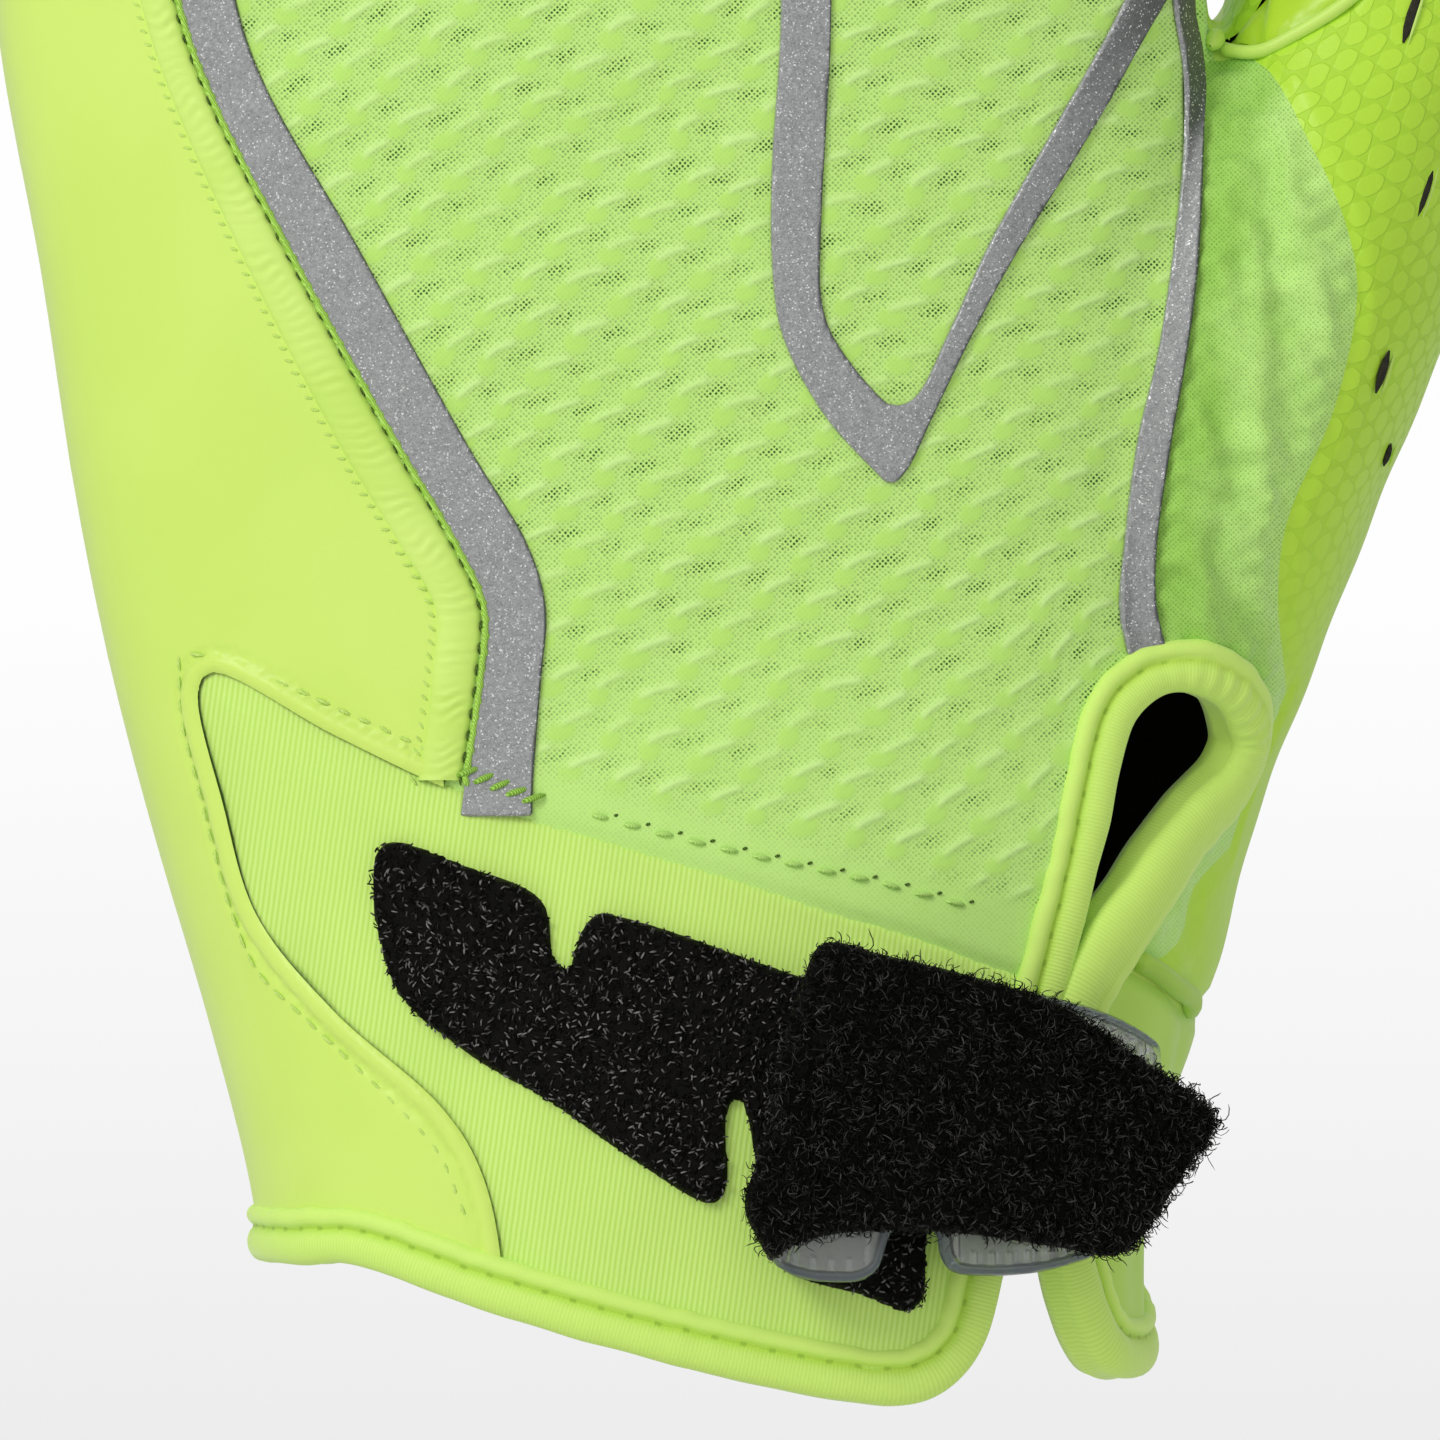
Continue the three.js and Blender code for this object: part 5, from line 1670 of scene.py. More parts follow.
@dataclass
class Panels:
    """Cloth panels of the hand, cut from the skin one after another."""

    form: HandForm
    binding: Binding
    shop: Workshop
    tuck_under: float = 0.9
    far: float = 9.0
    margin: float = 12.0
    cuts: dict[str, list[Surface]] = field(init=False)
    front: Surface = field(init=False)

    def __post_init__(self) -> None:
        """Cuts every panel, finely on the front and more coarsely elsewhere."""
        skin = self.form.skin.noted(edge=np.full(len(self.form.skin.points), self.far))
        skin = skin.clipped(self.binding.opening_level(skin) + 0.2)
        ahead = np.minimum(self.form.front_top - skin.points[:, 2], 6.0 - skin.points[:, 1])
        fine = skin.clipped(ahead).refined()
        fine.values["edge"] = np.full(len(fine.points), self.far)
        coarse = skin.clipped(-ahead)
        coarse.values["edge"] = np.full(len(coarse.points), self.far)
        self.front = fine
        self.cuts = {}
        for part in (fine, coarse):
            for name, level in self.regions():
                values = level(part)
                near = np.minimum(part.values["edge"], np.abs(values))
                part = part.noted(edge=near)
                values = level(part)
                under = self.tuck_under if name == "cuff_back_panel" else 0.0
                self.cuts.setdefault(name, []).append(part.clipped(values + under))
                part = part.clipped(-values)
            self.cuts.setdefault("palm_grip", []).append(part)

    @classmethod
    def area(cls, outline: np.ndarray, side: Side | None = None) -> object:
        """Level of a region, positive inside, on one side of the hand if a side is given.

        Args:
            outline: corners of the region.
            side: the side it counts on, or None for both.

        Returns:
            a function from a surface to its levels.
        """

        def level(surface: Surface) -> np.ndarray:
            """Signed distance of each point from the outline.

            Args:
                surface: the surface to measure.

            Returns:
                one level for each point.
            """
            places = surface.points[:, [0, 2]]
            low, high = outline.min(axis=0) - cls.margin, outline.max(axis=0) + cls.margin
            near = ((places > low) & (places < high)).all(axis=1)
            value = np.full(len(places), -cls.margin)
            value[near] = inside_distance(places[near], outline)
            if side is None:
                return value
            return np.minimum(value, (surface.points[:, 1] - side_seam(surface.points[:, 2])) * side.value)

        return level

    @classmethod
    def wrapped(cls, back: np.ndarray, palm: np.ndarray) -> object:
        """Level of a region that runs round the side, with an outline on the back and one on the palm."""
        ahead, behind = cls.area(back), cls.area(palm)
        return lambda s: np.where(s.points[:, 1] < side_seam(s.points[:, 2]), ahead(s), behind(s))

    def regions(self) -> list[tuple[str, object]]:
        """Panels in the order in which they are cut, with the level of each.

        Returns:
            name and level of each panel.
        """
        return [
            ("cuff_back_panel", self.area(rounded(CUFF_BACK, 1.0), Side.BACK)),
            ("cuff_palm_panel", self.wrapped(scaled(CUFF_THUMB_SIDE), scaled(CUFF_PALM_SIDE))),
            ("thumb_gusset", self.area(rounded(THUMB_GUSSET, 1.5), Side.BACK)),
            ("back_knit", self.area(scaled(KNIT_REGION), Side.BACK)),
            ("thumb_inner", self.area(scaled(THUMB_INNER), Side.BACK)),
            ("thumb_grip", self.wrapped(scaled(THUMB_BACK_REGION), scaled(THUMB_PALM_REGION))),
        ]

    def panel(self, name: str) -> Surface:
        """All cuts of a panel as one surface."""
        parts = self.cuts[name]
        return parts[0].joined(*parts[1:]).welded()

    @staticmethod
    def seam_dip(surface: Surface, depth: float, width: float) -> np.ndarray:
        """How far a panel sinks along its seams."""
        return -depth * (1.0 - smoothstep(0.0, width, surface.values["edge"]))

    @staticmethod
    def sway(points: np.ndarray) -> np.ndarray:
        """Slow undulation of the knit and of what lies on it."""
        return waves(points, 16.0, 21) * 0.12 + waves(points, 7.0, 22) * 0.05

    @staticmethod
    def knit_lattice(surface: Surface) -> tuple[np.ndarray, np.ndarray, np.ndarray]:
        """Column, row and slant of the knit's tucks at the points of a surface.

        Args:
            surface: the knit.

        Returns:
            three arrays, one number for each point.
        """
        x, z = surface.points[:, 0], surface.points[:, 2]
        flat = np.column_stack([x, z])
        column, row = tuck_place(x + 0.35 * waves(flat, 9.0, 23), z + 0.3 * waves(flat, 9.0, 24))
        steep = smoothstep(12.0, 30.0, x) * smoothstep(80.0, 55.0, z)
        slant = np.radians(22.0 + 19.0 * steep + 9.0 * smoothstep(-8.0, -26.0, x))
        return column, row, slant

    def tuck_relief(self, surface: Surface) -> np.ndarray:
        """Rise of the tucks from 0 to 1: a crest with a softer patch under its left end.

        Args:
            surface: the knit.

        Returns:
            one number for each point.
        """
        column, row, slant = self.knit_lattice(surface)
        total = np.zeros(len(column))
        crest, patch = (0.0, 0.1, 1.6, 0.32, 0.65, 1.0), (-1.2, -1.1, 1.1, 0.8, 0.8, 0.5)
        for across, up, wide, low, high, share in (crest, patch):
            shift = tuck_place(across, up)
            p, q = column - shift[0], row - shift[1]
            p, q = p - np.round(p), q - np.round(q)
            dx, dz = p * TUCK_STEP[0] + q * TUCK_ROW[0], p * TUCK_STEP[1] + q * TUCK_ROW[1]
            along, over = dx * np.cos(slant) + dz * np.sin(slant), dz * np.cos(slant) - dx * np.sin(slant)
            reach = np.where(over > 0, over / high, over / low)
            total = np.maximum(total, share * np.exp(-((along / wide) ** 4)) * bell(reach, 1.0))
        return total

    def back_knit(self) -> None:
        """Bright mesh knit with its slanted tucks."""
        knit = self.panel("back_knit")
        x, z = knit.points[:, 0], knit.points[:, 2]
        flat = np.column_stack([x, z])
        tuck = smoothstep(0.3, 2.2, z + x * 0.262 - 45.2) * smoothstep(0.2, 1.5, knit.values["edge"])
        clear = np.ones(len(x))
        for outline in (strip_outline(STRIPE_LEFT), rounded(STRIPE_V, 1.0), strip_outline(STRIPE_THUMB)):
            low, high = outline.min(axis=0) - 2.0, outline.max(axis=0) + 2.0
            near = ((flat > low) & (flat < high)).all(axis=1)
            clear[near] *= smoothstep(0.0, 1.2, -inside_distance(flat[near], outline))
        relief = self.tuck_relief(knit)
        dip = self.seam_dip(knit, 0.4, 1.2)
        calm = smoothstep(0.0, 5.0, knit.values["edge"]) * (0.3 + 0.7 * clear)
        column, row, slant = self.knit_lattice(knit)
        made = knit.raised(0.15 * relief * tuck * clear + self.sway(knit.points) * calm + dip)
        above_cuff = z + x * 0.262 - 46.0
        mesh = 0.25 + 0.4 * smoothstep(-0.6, 0.6, above_cuff) + 0.35 * smoothstep(4.0, 24.0, above_cuff)
        made = made.noted(tuck=tuck, mesh=mesh, column=column, row=row, slant=slant)
        fingers = [f"{finger}_back" for finger in FINGER_NAMES]
        piece = self.shop.make("knit_back", made, Finish.KNIT, "knit", "back_knit", *fingers)
        made.area()

    def palm_grip(self) -> None:
        """Smooth grip panel: palm, finger fronts and the wrap round the little-finger side."""
        grip = self.panel("palm_grip")
        z = grip.points[:, 2]
        drape = waves(grip.points * np.array([1.0, 1.0, 0.7]), 32.0, 31) * 0.12
        creases = np.zeros(len(z))
        for height, depth in ((178.0, 0.7), (199.0, 0.6), (148.0, 0.5)):
            place = z - height + 0.12 * grip.points[:, 0]
            creases -= depth * bell(place, 1.6) * smoothstep(2.0, 9.0, grip.points[:, 1])
        calm = smoothstep(0.0, 4.0, grip.values["edge"])
        flat = grip.points[:, [0, 2]]
        near = (grip.points[:, 1] < 0) & (flat[:, 1] < 64.0) & (flat[:, 0] < -10.0)
        gap = np.full(len(z), 20.0)
        gap[near] = -inside_distance(flat[near], rounded(CUFF_BACK, 1.0))
        rim = 0.42 * arch((gap - 0.72) / 0.76) - 0.22 * bell(gap - 1.65, 0.3)
        dip = np.where(gap < 3.0, 0.0, self.seam_dip(grip, 0.4, 1.3))
        made = grip.raised(drape * calm + creases + dip + rim)
        made = made.noted()
        fingers = [f"{finger}_front" for finger in FINGER_NAMES]
        piece = self.shop.make("grip_palm", made, Finish.PALM, "grip", "palm_grip", *fingers)
        made.area()

    def cuffs(self) -> None:
        """Foam cuff on the back of the wrist and the smooth cuff on its thumb and palm side."""
        back = self.panel("cuff_back_panel")
        level = inside_distance(back.points[:, [0, 2]], rounded(CUFF_BACK, 1.0))
        puff = 0.4 * smoothstep(0.0, 4.0, level) - 0.15 - 0.9 * smoothstep(0.0, -0.8, level)
        sway = waves(back.points * np.array([1.0, 1.0, 0.5]), 9.0, 41) * 0.12
        made = back.raised(puff + sway)
        made = made.noted()
        piece = self.shop.make("cuff_back", made, Finish.JERSEY, "jersey_foam", "cuff_back_panel")
        palm = self.panel("cuff_palm_panel")
        folds = waves(palm.points * np.array([1.0, 1.0, 0.35]), 8.0, 43) * 0.25
        made = palm.raised(folds * smoothstep(0.0, 3.0, palm.values["edge"]) + self.seam_dip(palm, 0.35, 1.2))
        made = made.noted()
        piece = self.shop.make("cuff_thumb_side", made, Finish.CUFF_SIDE, "grip", "cuff_palm_panel")
        made.area()

    def thumb_panels(self) -> None:
        """Gathered gusset, embossed grip and the inner panel of the thumb."""
        gusset = self.panel("thumb_gusset")
        x, z = gusset.points[:, 0], gusset.points[:, 2]
        gather = np.sin((z + 0.5 * x) * TURN / 4.2 + 1.5 * waves(gusset.points, 9.0, 51)) * 0.34
        folds = bell(x - 46.5 + 0.12 * (z - 80), 1.1) * -0.9
        folds -= 0.6 * bell(x - 41.5 + 0.2 * (z - 70) + waves(gusset.points, 12.0, 54), 0.9)
        near = gusset.values["edge"]
        calm = smoothstep(0.0, 2.5, near)
        crumple = waves(gusset.points * np.array([1.5, 1.0, 0.8]), 5.0, 52) * 0.26
        crumple += waves(gusset.points, 2.4, 55) * 0.07
        puckers = 0.16 * np.sin((z - 0.4 * x) * TURN / 2.3 + waves(gusset.points, 6.0, 57))
        puckers *= smoothstep(4.0, 1.5, near) * smoothstep(0.0, 0.8, near)
        made = gusset.raised((np.maximum(gather + folds + crumple, -0.9) + 0.35) * calm + puckers - 0.4)
        stripe = np.interp(z, [54.0, 68.0, 82.0, 96.0, 108.0], [37.5, 37.0, 39.0, 40.0, 40.5])
        away = x - stripe + 1.5 * waves(gusset.points, 8.0, 56) - 4.0 * smoothstep(66.0, 52.0, z)
        shade = 0.8 - 0.8 * smoothstep(0.5, 7.0, away)
        column, row, slant = self.knit_lattice(gusset)
        low = smoothstep(64.0, 50.0, z)
        made = made.noted(tuck=np.zeros(len(x)), mesh=1.0 - 0.7 * low, column=column, row=row, slant=slant,
                          shade=shade * (1.0 - low))
        piece = self.shop.make("gusset", made, Finish.GUSSET, "gusset_knit", "thumb_gusset")
        made.area()

        grip = self.panel("thumb_grip")
        axis = np.interp(grip.points[:, 2], [20.0, 60.0, 108.0, 140.0, 166.0], [25.0, 36.0, 54.0, 62.0, 66.0])
        angle = np.arctan2(grip.points[:, 1] - 9.0, grip.points[:, 0] - axis)
        drape = waves(grip.points, 14.0, 53) * 0.2 * smoothstep(0.0, 4.0, grip.values["edge"])
        made = grip.raised(drape + self.seam_dip(grip, 0.4, 1.3))
        made = made.noted(round=angle * 17.0, rise=grip.points[:, 2])
        piece = self.shop.make("thumb_scales", made, Finish.SCALES, "embossed_grip", "thumb_grip")
        made.area()

        inner = self.panel("thumb_inner")
        fold = np.zeros(len(inner.points))
        for line in (42.0, 44.2):
            fold -= 0.5 * bell(inner.points[:, 0] - line - 0.15 * (inner.points[:, 2] - 110), 0.5)
        made = inner.raised(fold + self.seam_dip(inner, 0.3, 1.0))
        made = made.noted()
        piece = self.shop.make("thumb_inside", made, Finish.THUMB_INSIDE, "grip", "thumb_inner")
        made.area()

    def lining(self) -> None:
        """Lining that gives the shell its thickness and closes it inside, near-black as painted shade."""
        skin = remade(self.form.skin.points, self.form.skin.faces.tolist(), DECIMATE={"ratio": 0.25})
        skin = skin.clipped(self.binding.opening_level(skin) + 1.5)
        made = skin.raised(-1.5 - 0.6 * smoothstep(50.0, 40.0, skin.points[:, 2]))
        made = Surface(made.points, made.faces[:, ::-1], -made.normals, {})
        piece = self.shop.make("lining", made, Finish.LINING, "knit")
        made.area()


@dataclass
class Trim:
    """Seam ridge, film stripes and stitches on the back."""

    form: HandForm
    panels: Panels
    shop: Workshop
    needle: Needlework

    def layer(self, outline: np.ndarray, rim: float, lift: float, thickness: float, base: Surface) -> Surface:
        """A layer over the skin within an outline, rounded at its rim.

        Args:
            outline: (x, z) corners.
            rim: width over which its edge rounds.
            lift: height of its edge above the skin.
            thickness: rise from its edge to its face.
            base: the surface it lies on.

        Returns:
            The layer, with the value "rim" as the distance from its edge.
        """
        level = Panels.area(outline, Side.BACK)(base)
        base = base.noted(rim=level).clipped(level)
        inner = base.clipped(base.values["rim"] - rim)
        outer = base.clipped(rim - base.values["rim"])
        whole = inner.joined(outer).welded()
        share = np.clip(whole.values["rim"] / rim, 0.0, 1.0)
        return whole.raised(lift + thickness * arch(1 - share))

    def stripes(self) -> None:
        """The three silver stripes."""
        tables = (
            ("film_left", strip_outline(STRIPE_LEFT), "stripe_left"),
            ("film_v", rounded(STRIPE_V, 1.0), "stripe_v"),
            ("film_thumb", strip_outline(STRIPE_THUMB), "stripe_thumb"),
        )
        for name, outline, node in tables:
            film = self.layer(outline, 0.12, 0.1, 0.35, self.panels.front)
            sway = np.maximum(Panels.sway(film.points), 0.0) * 0.4
            film = film.raised(sway + waves(film.points, 3.0, 61) * 0.03).noted()
            self.shop.make(name, film, Finish.FILM, "reflective_film", node)

    def ridge(self) -> None:
        """Gathered, overlocked ridge with its chain of thread."""
        left, right = strip_edge(SEAM_RIDGE, 1), strip_edge(SEAM_RIDGE, 2)
        strip = self.needle.strip(left[::-1], right[::-1], 0.62, 0.16, 0.95)
        self.shop.make("ridge", strip, Finish.RIDGE, "gathered_seam", "seam_ridge")
        chain = right + np.array([0.3, 0.0])
        cord = self.needle.cord(chain, 0.24, 0.42)
        loops = self.needle.stitches(chain, Stitch(1.3, 1.25, 0.5, 24.0, 0.62))
        self.shop.make("chain_thread", cord.joined(loops), Finish.BRIGHT_THREAD, "gathered_seam")
        # Dark stitches painted as the shade in the slots of the chain
        slots = self.needle.stitches(chain + np.array([-0.4, 0.1]), Stitch(1.75, 0.95, 0.24, 0.0, 0.58))
        self.shop.make("chain_slots", slots, Finish.SHADE_THREAD, "gathered_seam")
        faint = self.needle.stitches(left + np.array([-0.3, 0.0]), Stitch(1.1, 0.9, 0.24, 50.0, 0.16))
        self.shop.make("ridge_topstitch", faint, Finish.PALE_THREAD, "gathered_seam")

    def stitches(self) -> None:
        """Topstitching of the smooth side, and the thick stitches over the cuff's top seam."""
        row = Stitch(1.75, 1.2, 0.3, 0.0, 0.16)
        upper, left = (self.needle.stitches(np.array(line), row) for line in (SIDE_ROW_TOP, SIDE_ROW_LEFT))
        self.shop.make("side_topstitch", upper.joined(left), Finish.PALE_THREAD, "grip")
        seam = np.array(CUFF_SEAM)
        rows = (
            ("cuff_seam_stitches", seam[:2], Stitch(1.5, 2.2, 0.5, 42.0, 0.7), Finish.SEAM_THREAD),
            ("cuff_seam_tufts", seam[2:], Stitch(2.55, 1.5, 0.4, 4.0, 0.35), Finish.TUFT_THREAD),
            ("cuff_seam_pins", seam[2:] + np.array([1.25, 0.1]), Stitch(2.55, 0.4, 0.24, 30.0, 0.16),
             Finish.SHADE_THREAD),
        )
        for name, line, kind, finish in rows:
            self.shop.make(name, self.needle.stitches(line, kind), finish, "knit")

    def thumb_trim(self) -> None:
        """Piping and nub at the crotch of the thumb, its rolled lower hem and its slits."""
        pipe = self.needle.cord(np.array(CROTCH_PIPING), 0.55, 0.15)
        nub = self.needle.cord(np.array(CROTCH_NUB), 0.85, 0.2, 0.1)
        self.shop.make("crotch_piping", pipe.joined(nub), Finish.PIPING, "grip")
        hem = self.needle.cord(np.array(HEEL_HEM_BACK), 0.85, 0.35, behind=np.array(HEEL_HEM_PALM))
        self.shop.make("heel_hem", hem, Finish.HEEL_ROLL, "embossed_grip")
        taper = np.array([0.2, 0.85, 1.0, 0.85, 0.2])
        holes, rims = [], []
        for x, z, length in THUMB_SLITS:
            line = np.array([x, z]) + np.outer(np.linspace(-0.5, 0.5, 5), np.array([0.32, 1.0])) * length
            points, normals = self.form.drape(line)
            # Dark tubes painted as the shade inside each slit
            holes.append(tubes((points + normals * 0.12)[None], normals[None], (0.44 * taper)[None], 10, 0.6))
            points, normals = self.form.drape(line + np.array([0.4, -0.05]))
            rims.append(tubes((points + normals * 0.18)[None], normals[None], (0.17 * taper)[None], 8))
        self.shop.make("thumb_slits", holes[0].joined(*holes[1:]), Finish.SLIT, "embossed_grip")
        self.shop.make("thumb_slit_rims", rims[0].joined(*rims[1:]), Finish.SLIT_RIM, "embossed_grip")


@dataclass
class Closure:
    """Hook patch, folded clear strap and its loop pad."""

    form: HandForm
    shop: Workshop
    trim: Trim
    step: float = 0.55
    hook_count: int = 7400
    fibre_count: int = 5200
    fibre_steps: int = 6
    fuzz_lift: float = 0.25
    pile_sides: int = 3
    seed: int = 77

    def __post_init__(self) -> None:
        """Distances of the strap's two runs from the cuff."""
        inner = SEAM_GAP + HOOK_THICKNESS + STRAP_LIFT
        self.low_run = inner + STRAP_THICKNESS / 2
        self.high_run = self.low_run + STRAP_THICKNESS + FOLD_GAP
        self.pad_run = self.high_run + STRAP_THICKNESS / 2 + SEAM_GAP + PAD_THICKNESS / 2

    def cover(self, x: np.ndarray) -> np.ndarray:
        """Outermost depth of the glove over the strap's height.

        Args:
            x: places across the glove.

        Returns:
            the depth at each place.
        """
        heights = np.linspace(STRAP_LOW, STRAP_HIGH, 6) * BACK_HEIGHT
        places = np.array([(a, b) for a in x for b in heights])
        return self.form.drape(places)[0][:, 1].reshape(len(x), 6).min(axis=1)

    def run(self, distance: float, start: float, end: float) -> np.ndarray:
        """Level line at a distance over the cuff between two places across.

        Args:
            distance: height over the cuff's surface.
            start: first place across.
            end: last place across.

        Returns:
            points of the line.
        """
        x = np.linspace(start, end, 40)
        depth = self.cover(x)
        depth = np.convolve(np.pad(depth, 3, mode="edge"), np.ones(7) / 7, mode="valid")
        slope = np.gradient(depth, x)
        out = unit(np.column_stack([slope, -np.ones(len(x))]))
        return np.column_stack([x, depth]) + out * distance

    def plate(self, line: np.ndarray, outline: np.ndarray, thickness: float,
              rim: float = 0.9) -> tuple[Surface, Surface]:
        """Sheet of even thickness along a level line, trimmed to an outline and rounded at its rim.

        Args:
            line: (x, y) places of its middle.
            outline: (x, z) corners.
            thickness: its thickness.
            rim: width over which its edge rounds.

        Returns:
            The closed plate, and its outer face alone.
        """
        line = spline(line, self.step)
        heights = np.arange(outline[:, 1].min() - 1.0, outline[:, 1].max() + 1.0, self.step)
        tangent = unit(np.gradient(line, axis=0))
        out = np.column_stack([tangent[:, 1], -tangent[:, 0]])
        out *= np.sign(-out[0, 1])
        rows, columns = len(line), len(heights)
        points = np.column_stack([np.repeat(line, columns, axis=0), np.tile(heights, rows)])
        normals = np.column_stack([np.repeat(out, columns, axis=0), np.zeros(rows * columns)])
        level = inside_distance(points[:, [0, 2]], outline)
        sheet = Surface(points, grid_faces(rows, columns), normals, {"rim": level}).clipped(level)
        inner = sheet.clipped(sheet.values["rim"] - rim)
        mid = sheet.clipped(rim - sheet.values["rim"])
        near = mid.clipped(rim * 0.3 - mid.values["rim"])
        far = mid.clipped(mid.values["rim"] - rim * 0.3)
        sheet = inner.joined(near, far).welded()
        share = np.clip(sheet.values["rim"] / rim, 0.0, 1.0)
        half = thickness / 2 * arch(1 - share)
        front, back = sheet.raised(half), sheet.raised(-half)
        back.faces = back.faces[:, ::-1]
        closed = front.joined(back).welded()
        return Surface.of(closed.points, closed.faces, **closed.values), front

    def hooks(self) -> None:
        """Black hook patch: a plate with short stiff hooks standing on it."""
        outline = rounded(HOOK_PANEL, 0.8)
        plate = self.trim.layer(outline, 0.5, 0.1, 1.0, self.trim.panels.front)
        chance = np.random.default_rng(self.seed)
        low, high = outline.min(axis=0), outline.max(axis=0)
        spots = chance.uniform(low, high, (16000, 2))
        spots = spots[inside_distance(spots, outline) > 0.05][:self.hook_count]
        points, normals = self.form.drape(spots)
        count = len(points)
        lean = unit(chance.normal(size=(count, 3)))
        lean = unit(lean - (lean * normals).sum(axis=1)[:, None] * normals)
        thickness = np.array([0.055, 0.07, 0.07, 0.06, 0.03])
        bend = np.linspace(0.3, 2.6, len(thickness))
        radius = chance.uniform(0.16, 0.3, count)[:, None, None]
        cos, sin = np.cos(bend)[None, :, None], np.sin(bend)[None, :, None]
        lines = points[:, None, :] + normals[:, None, :] * 0.98
        lines = lines + radius * (sin * normals[:, None, :] - cos * lean[:, None, :])
        radii = thickness * chance.uniform(0.8, 1.2, (count, 1))
        tufts = tubes(lines, np.cross(lean, normals)[:, None, :] + 0.0 * lines, radii, self.pile_sides)
        # Painted glint, random from hook to hook
        glint = chance.uniform(0.0, 1.0, count) ** 3
        tufts.values = {"glint": np.repeat(glint, len(thickness) * self.pile_sides)}
        plate.values = {"glint": np.zeros(len(plate.points))}
        whole = plate.joined(tufts)
        self.shop.make("hook_patch", Surface.of(whole.points, whole.faces, **whole.values),
                       Finish.HOOKS, "hook_tape", "hook_panel")

    def strap(self) -> None:
        """Clear moulded strap: from its root across the slit, round its fold and back."""
        root, fold = STRAP_ROOT * HAND_BREADTH, STRAP_FOLD * HAND_BREADTH
        low = self.run(self.low_run, root, fold)
        high = self.run(self.high_run, fold, root)
        centre = (low[-1] + high[0]) / 2
        radius = (self.high_run - self.low_run) / 2
        turn = np.linspace(math.pi / 2, 3 * math.pi / 2, 9)[1:-1]
        arc = np.column_stack([centre[0] + radius * np.cos(turn), centre[1] + radius * np.sin(turn)])
        line = np.vstack([low, arc, high])
        outline = rounded(STRAP_OUTLINE, 0.8)
        plate, _ = self.plate(line, outline, STRAP_THICKNESS)
        self.shop.make("strap_moulding", plate, Finish.MOULDING, "clear_moulding", "strap")

    def loop_pad(self) -> None:
        """Loop pad: a soft plate covered in curled fibres."""
        line = self.run(self.pad_run, 2.0, 42.0)
        outline = rounded(LOOP_PAD_OUTLINE, 0.8)
        plate, face = self.plate(line, outline, PAD_THICKNESS)
        chance = np.random.default_rng(self.seed + 1)
        under, over = (self.fibres(face, chance, lift) for lift in (0.0, self.fuzz_lift))
        plate.values = {"glint": np.zeros(len(plate.points))}
        whole = plate.joined(under)
        self.shop.make("loop_pad", Surface.of(whole.points, whole.faces, **whole.values),
                       Finish.LOOPS, "loop_pile", "strap_loop_pad")
        self.shop.make("loop_fuzz", over, Finish.LOOPS, "loop_pile")

    def fibres(self, face: Surface, chance: np.random.Generator, lift: float) -> Surface:
        """Curled fibres over a face.

        Args:
            face: the pad's outer face, with the value "rim".
            chance: source of the randomness.
            lift: height at which the fibres start.

        Returns:
            The fibres, with a value "glint" that differs from one to the next.
        """
        count, steps = self.fibre_count, self.fibre_steps
        areas = face.doubled_areas()
        which = chance.choice(len(face.faces), count, p=areas / areas.sum())
        weights = chance.dirichlet((1.0, 1.0, 1.0), count)
        start = (face.points[face.faces[which]] * weights[:, :, None]).sum(axis=1)
        normal = unit((face.normals[face.faces[which]] * weights[:, :, None]).sum(axis=1))
        away = unit(chance.normal(size=(count, 3)))
        away = unit(away - (away * normal).sum(axis=1)[:, None] * normal)
        beside = np.cross(normal, away)
        bend = chance.uniform(2.0, 5.4, count)
        radius = chance.uniform(0.2, 0.48, count)
        turn = np.linspace(0.0, 1.0, steps)[None, :] * bend[:, None]
        drift = np.linspace(0.0, 1.0, steps)[None, :] * chance.normal(0.0, 0.6, (count, 1))
        rise = radius[:, None] * (1 - np.cos(turn)) * 0.7
        lines = start[:, None, :] + away[:, None, :] * (radius[:, None] * np.sin(turn))[:, :, None]
        lines += normal[:, None, :] * (rise - 0.05 + lift)[:, :, None]
        lines += beside[:, None, :] * drift[:, :, None]
        radii = np.full((count, steps), 0.042) * chance.uniform(0.7, 1.4, (count, 1))
        radii[:, -1] *= 0.3
        facing = np.broadcast_to(normal[:, None, :] + 0.01, lines.shape)
        fibres = tubes(lines, facing, radii, self.pile_sides)
        # Painted glint, random from fibre to fibre
        fibres.values = {"glint": np.repeat(chance.uniform(0.0, 1.0, count) ** 2.2, steps * self.pile_sides)}
        return fibres


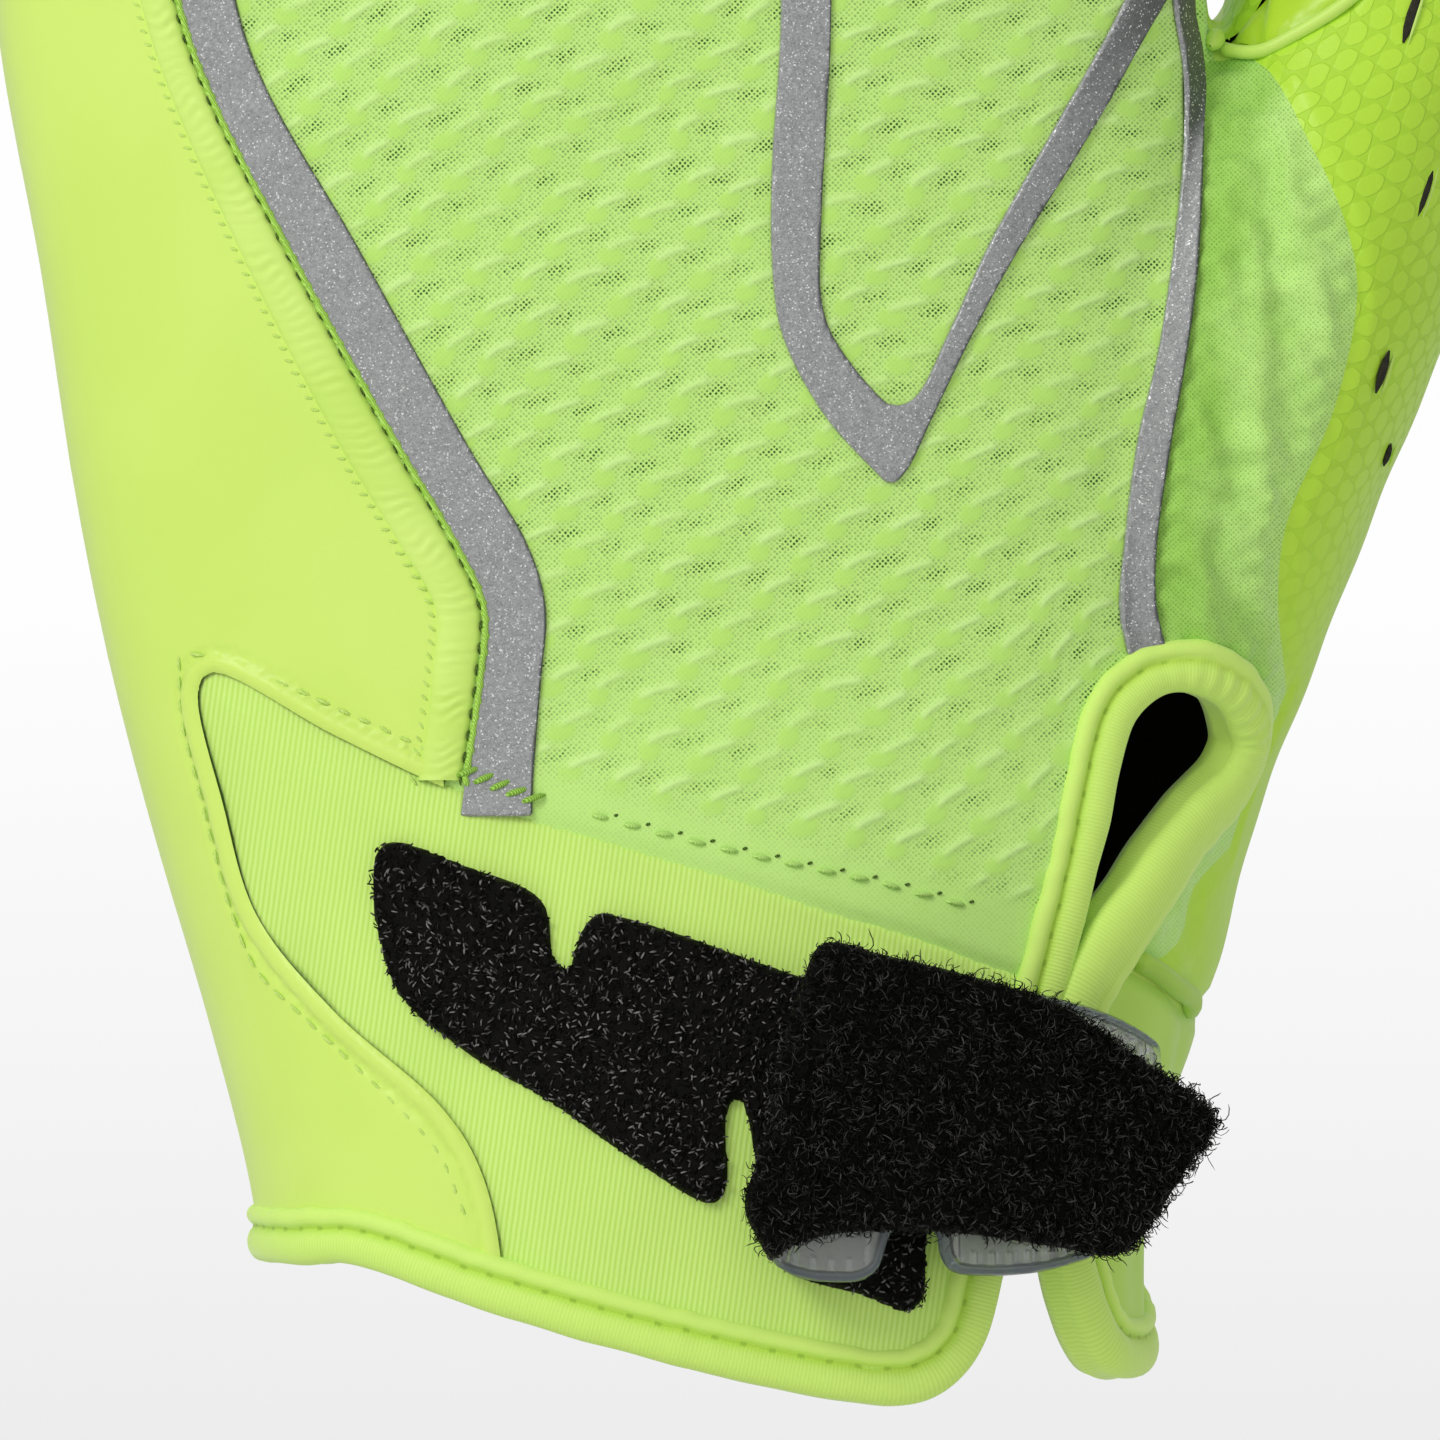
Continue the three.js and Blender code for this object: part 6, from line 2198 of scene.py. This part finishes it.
@dataclass(frozen=True)
class Studio:
    """Pale floor, soft light and the camera."""

    distance: float = 2.4
    frame: float = 0.1143
    aim: tuple[float, float, float] = (0.00143, 0.0, 0.05381)
    floor: float = -0.045
    key: float = 6.0
    fill: float = 0.8
    ambient: float = 0.55
    horizon: tuple[float, float] = (-0.024, 0.004)
    backdrop: tuple[float, float] = (0.842, 0.99)
    floor_reach: float = 0.6

    def camera(self) -> None:
        """Camera square to the back of the hand, with a long lens."""
        data = bpy.data.cameras.new("camera")
        data.sensor_width = 36.0
        data.lens = 36.0 * self.distance / self.frame
        data.clip_end = 20.0
        camera = bpy.data.objects.new("camera", data)
        camera.location = (self.aim[0], self.aim[1] - self.distance, self.aim[2])
        camera.rotation_euler = (math.pi / 2, 0.0, 0.0)
        bpy.context.scene.collection.objects.link(camera)
        bpy.context.scene.camera = camera

    def lamp(self, name: str, place: tuple[float, float, float], size: float, power: float) -> None:
        """A square soft light that faces the glove.

        Args:
            name: its name.
            place: where it hangs.
            size: side of the square.
            power: in watts.
        """
        data = bpy.data.lights.new(name, "AREA")
        data.shape = "SQUARE"
        data.size = size
        data.energy = power
        lamp = bpy.data.objects.new(name, data)
        lamp.location = place
        lamp.rotation_euler = (Vector(self.aim) - Vector(place)).to_track_quat("-Z", "Y").to_euler()
        bpy.context.scene.collection.objects.link(lamp)

    def build(self) -> None:
        """Adds camera, lights, background and floor."""
        self.camera()
        self.lamp("key", (-0.62, -0.8, 0.72), 0.45, self.key)
        self.lamp("fill", (0.1, -1.4, 0.1), 0.9, self.fill)
        world = bpy.data.worlds.new("studio")
        world.use_nodes = True
        tree = world.node_tree
        back = tree.nodes["Background"]
        back.inputs[0].default_value = (1.0, 1.0, 1.0, 1.0)
        path = tree.nodes.new("ShaderNodeLightPath")
        level = tree.nodes.new("ShaderNodeMapRange")
        level.inputs["To Min"].default_value = self.ambient
        tree.links.new(path.outputs["Is Camera Ray"], level.inputs["Value"])
        tree.links.new(level.outputs[0], back.inputs[1])
        place = tree.nodes.new("ShaderNodeTexCoord")
        parts = tree.nodes.new("ShaderNodeSeparateXYZ")
        fade = tree.nodes.new("ShaderNodeMapRange")
        tree.links.new(place.outputs["Generated"], parts.inputs[0])
        tree.links.new(parts.outputs["Z"], fade.inputs["Value"])
        names = ("From Min", "From Max", "To Min", "To Max")
        for name, value in zip(names, self.horizon + self.backdrop):
            fade.inputs[name].default_value = value
        tree.links.new(fade.outputs[0], level.inputs["To Max"])
        bpy.context.scene.world = world
        mesh = bpy.data.meshes.new("floor")
        corners = [(x * self.floor_reach, y * self.floor_reach, self.floor)
                   for x, y in ((-1, -1), (1, -1), (1, 1), (-1, 1))]
        mesh.from_pydata(corners, [], [(0, 1, 2, 3)])
        g = Graph("floor")
        base = g.mix(g.noise(0.01, 2.0), (236, 236, 236), (244, 244, 244))
        mesh.materials.append(g.finish(base, g.bump(g.noise(0.5, 2.0), 0.02, 0.1), 0.7))
        floor = bpy.data.objects.new("floor", mesh)
        bpy.context.scene.collection.objects.link(floor)
        floor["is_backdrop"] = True
        bpy.context.scene.view_settings.view_transform = "Standard"


def note_size(name: str, sizes: dict[str, object]) -> None:
    """Keeps the present box of the whole model under a name."""
    low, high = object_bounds()
    sizes[name] = {"low": [float(v) for v in low], "high": [float(v) for v in high]}


def main() -> None:
    """Builds the dressed glove and the studio round it."""
    logging.basicConfig(level=logging.INFO, format="%(message)s")
    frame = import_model()
    LOG.info("frame: %d nodes", len(frame["nodes"]))
    sizes: dict[str, object] = {}
    note_size("cad", sizes)
    Studio().build()
    shop = Workshop()
    form = HandForm()
    LOG.info("skin: %d triangles", len(form.skin.faces))
    binding = Binding(form)
    panels = Panels(form, binding, shop)
    panels.lining()
    panels.palm_grip()
    panels.cuffs()
    panels.thumb_panels()
    panels.back_knit()
    shop.make("binding", binding.surface(), Finish.TAPE, "binding", "edge_binding")
    needle = Needlework(form)
    trim = Trim(form, panels, shop, needle)
    trim.ridge()
    trim.stripes()
    trim.stitches()
    trim.thumb_trim()
    closure = Closure(form, shop, trim)
    closure.hooks()
    closure.strap()
    closure.loop_pad()
    note_size("dressed", sizes)


if __name__ == "__main__":
    main()
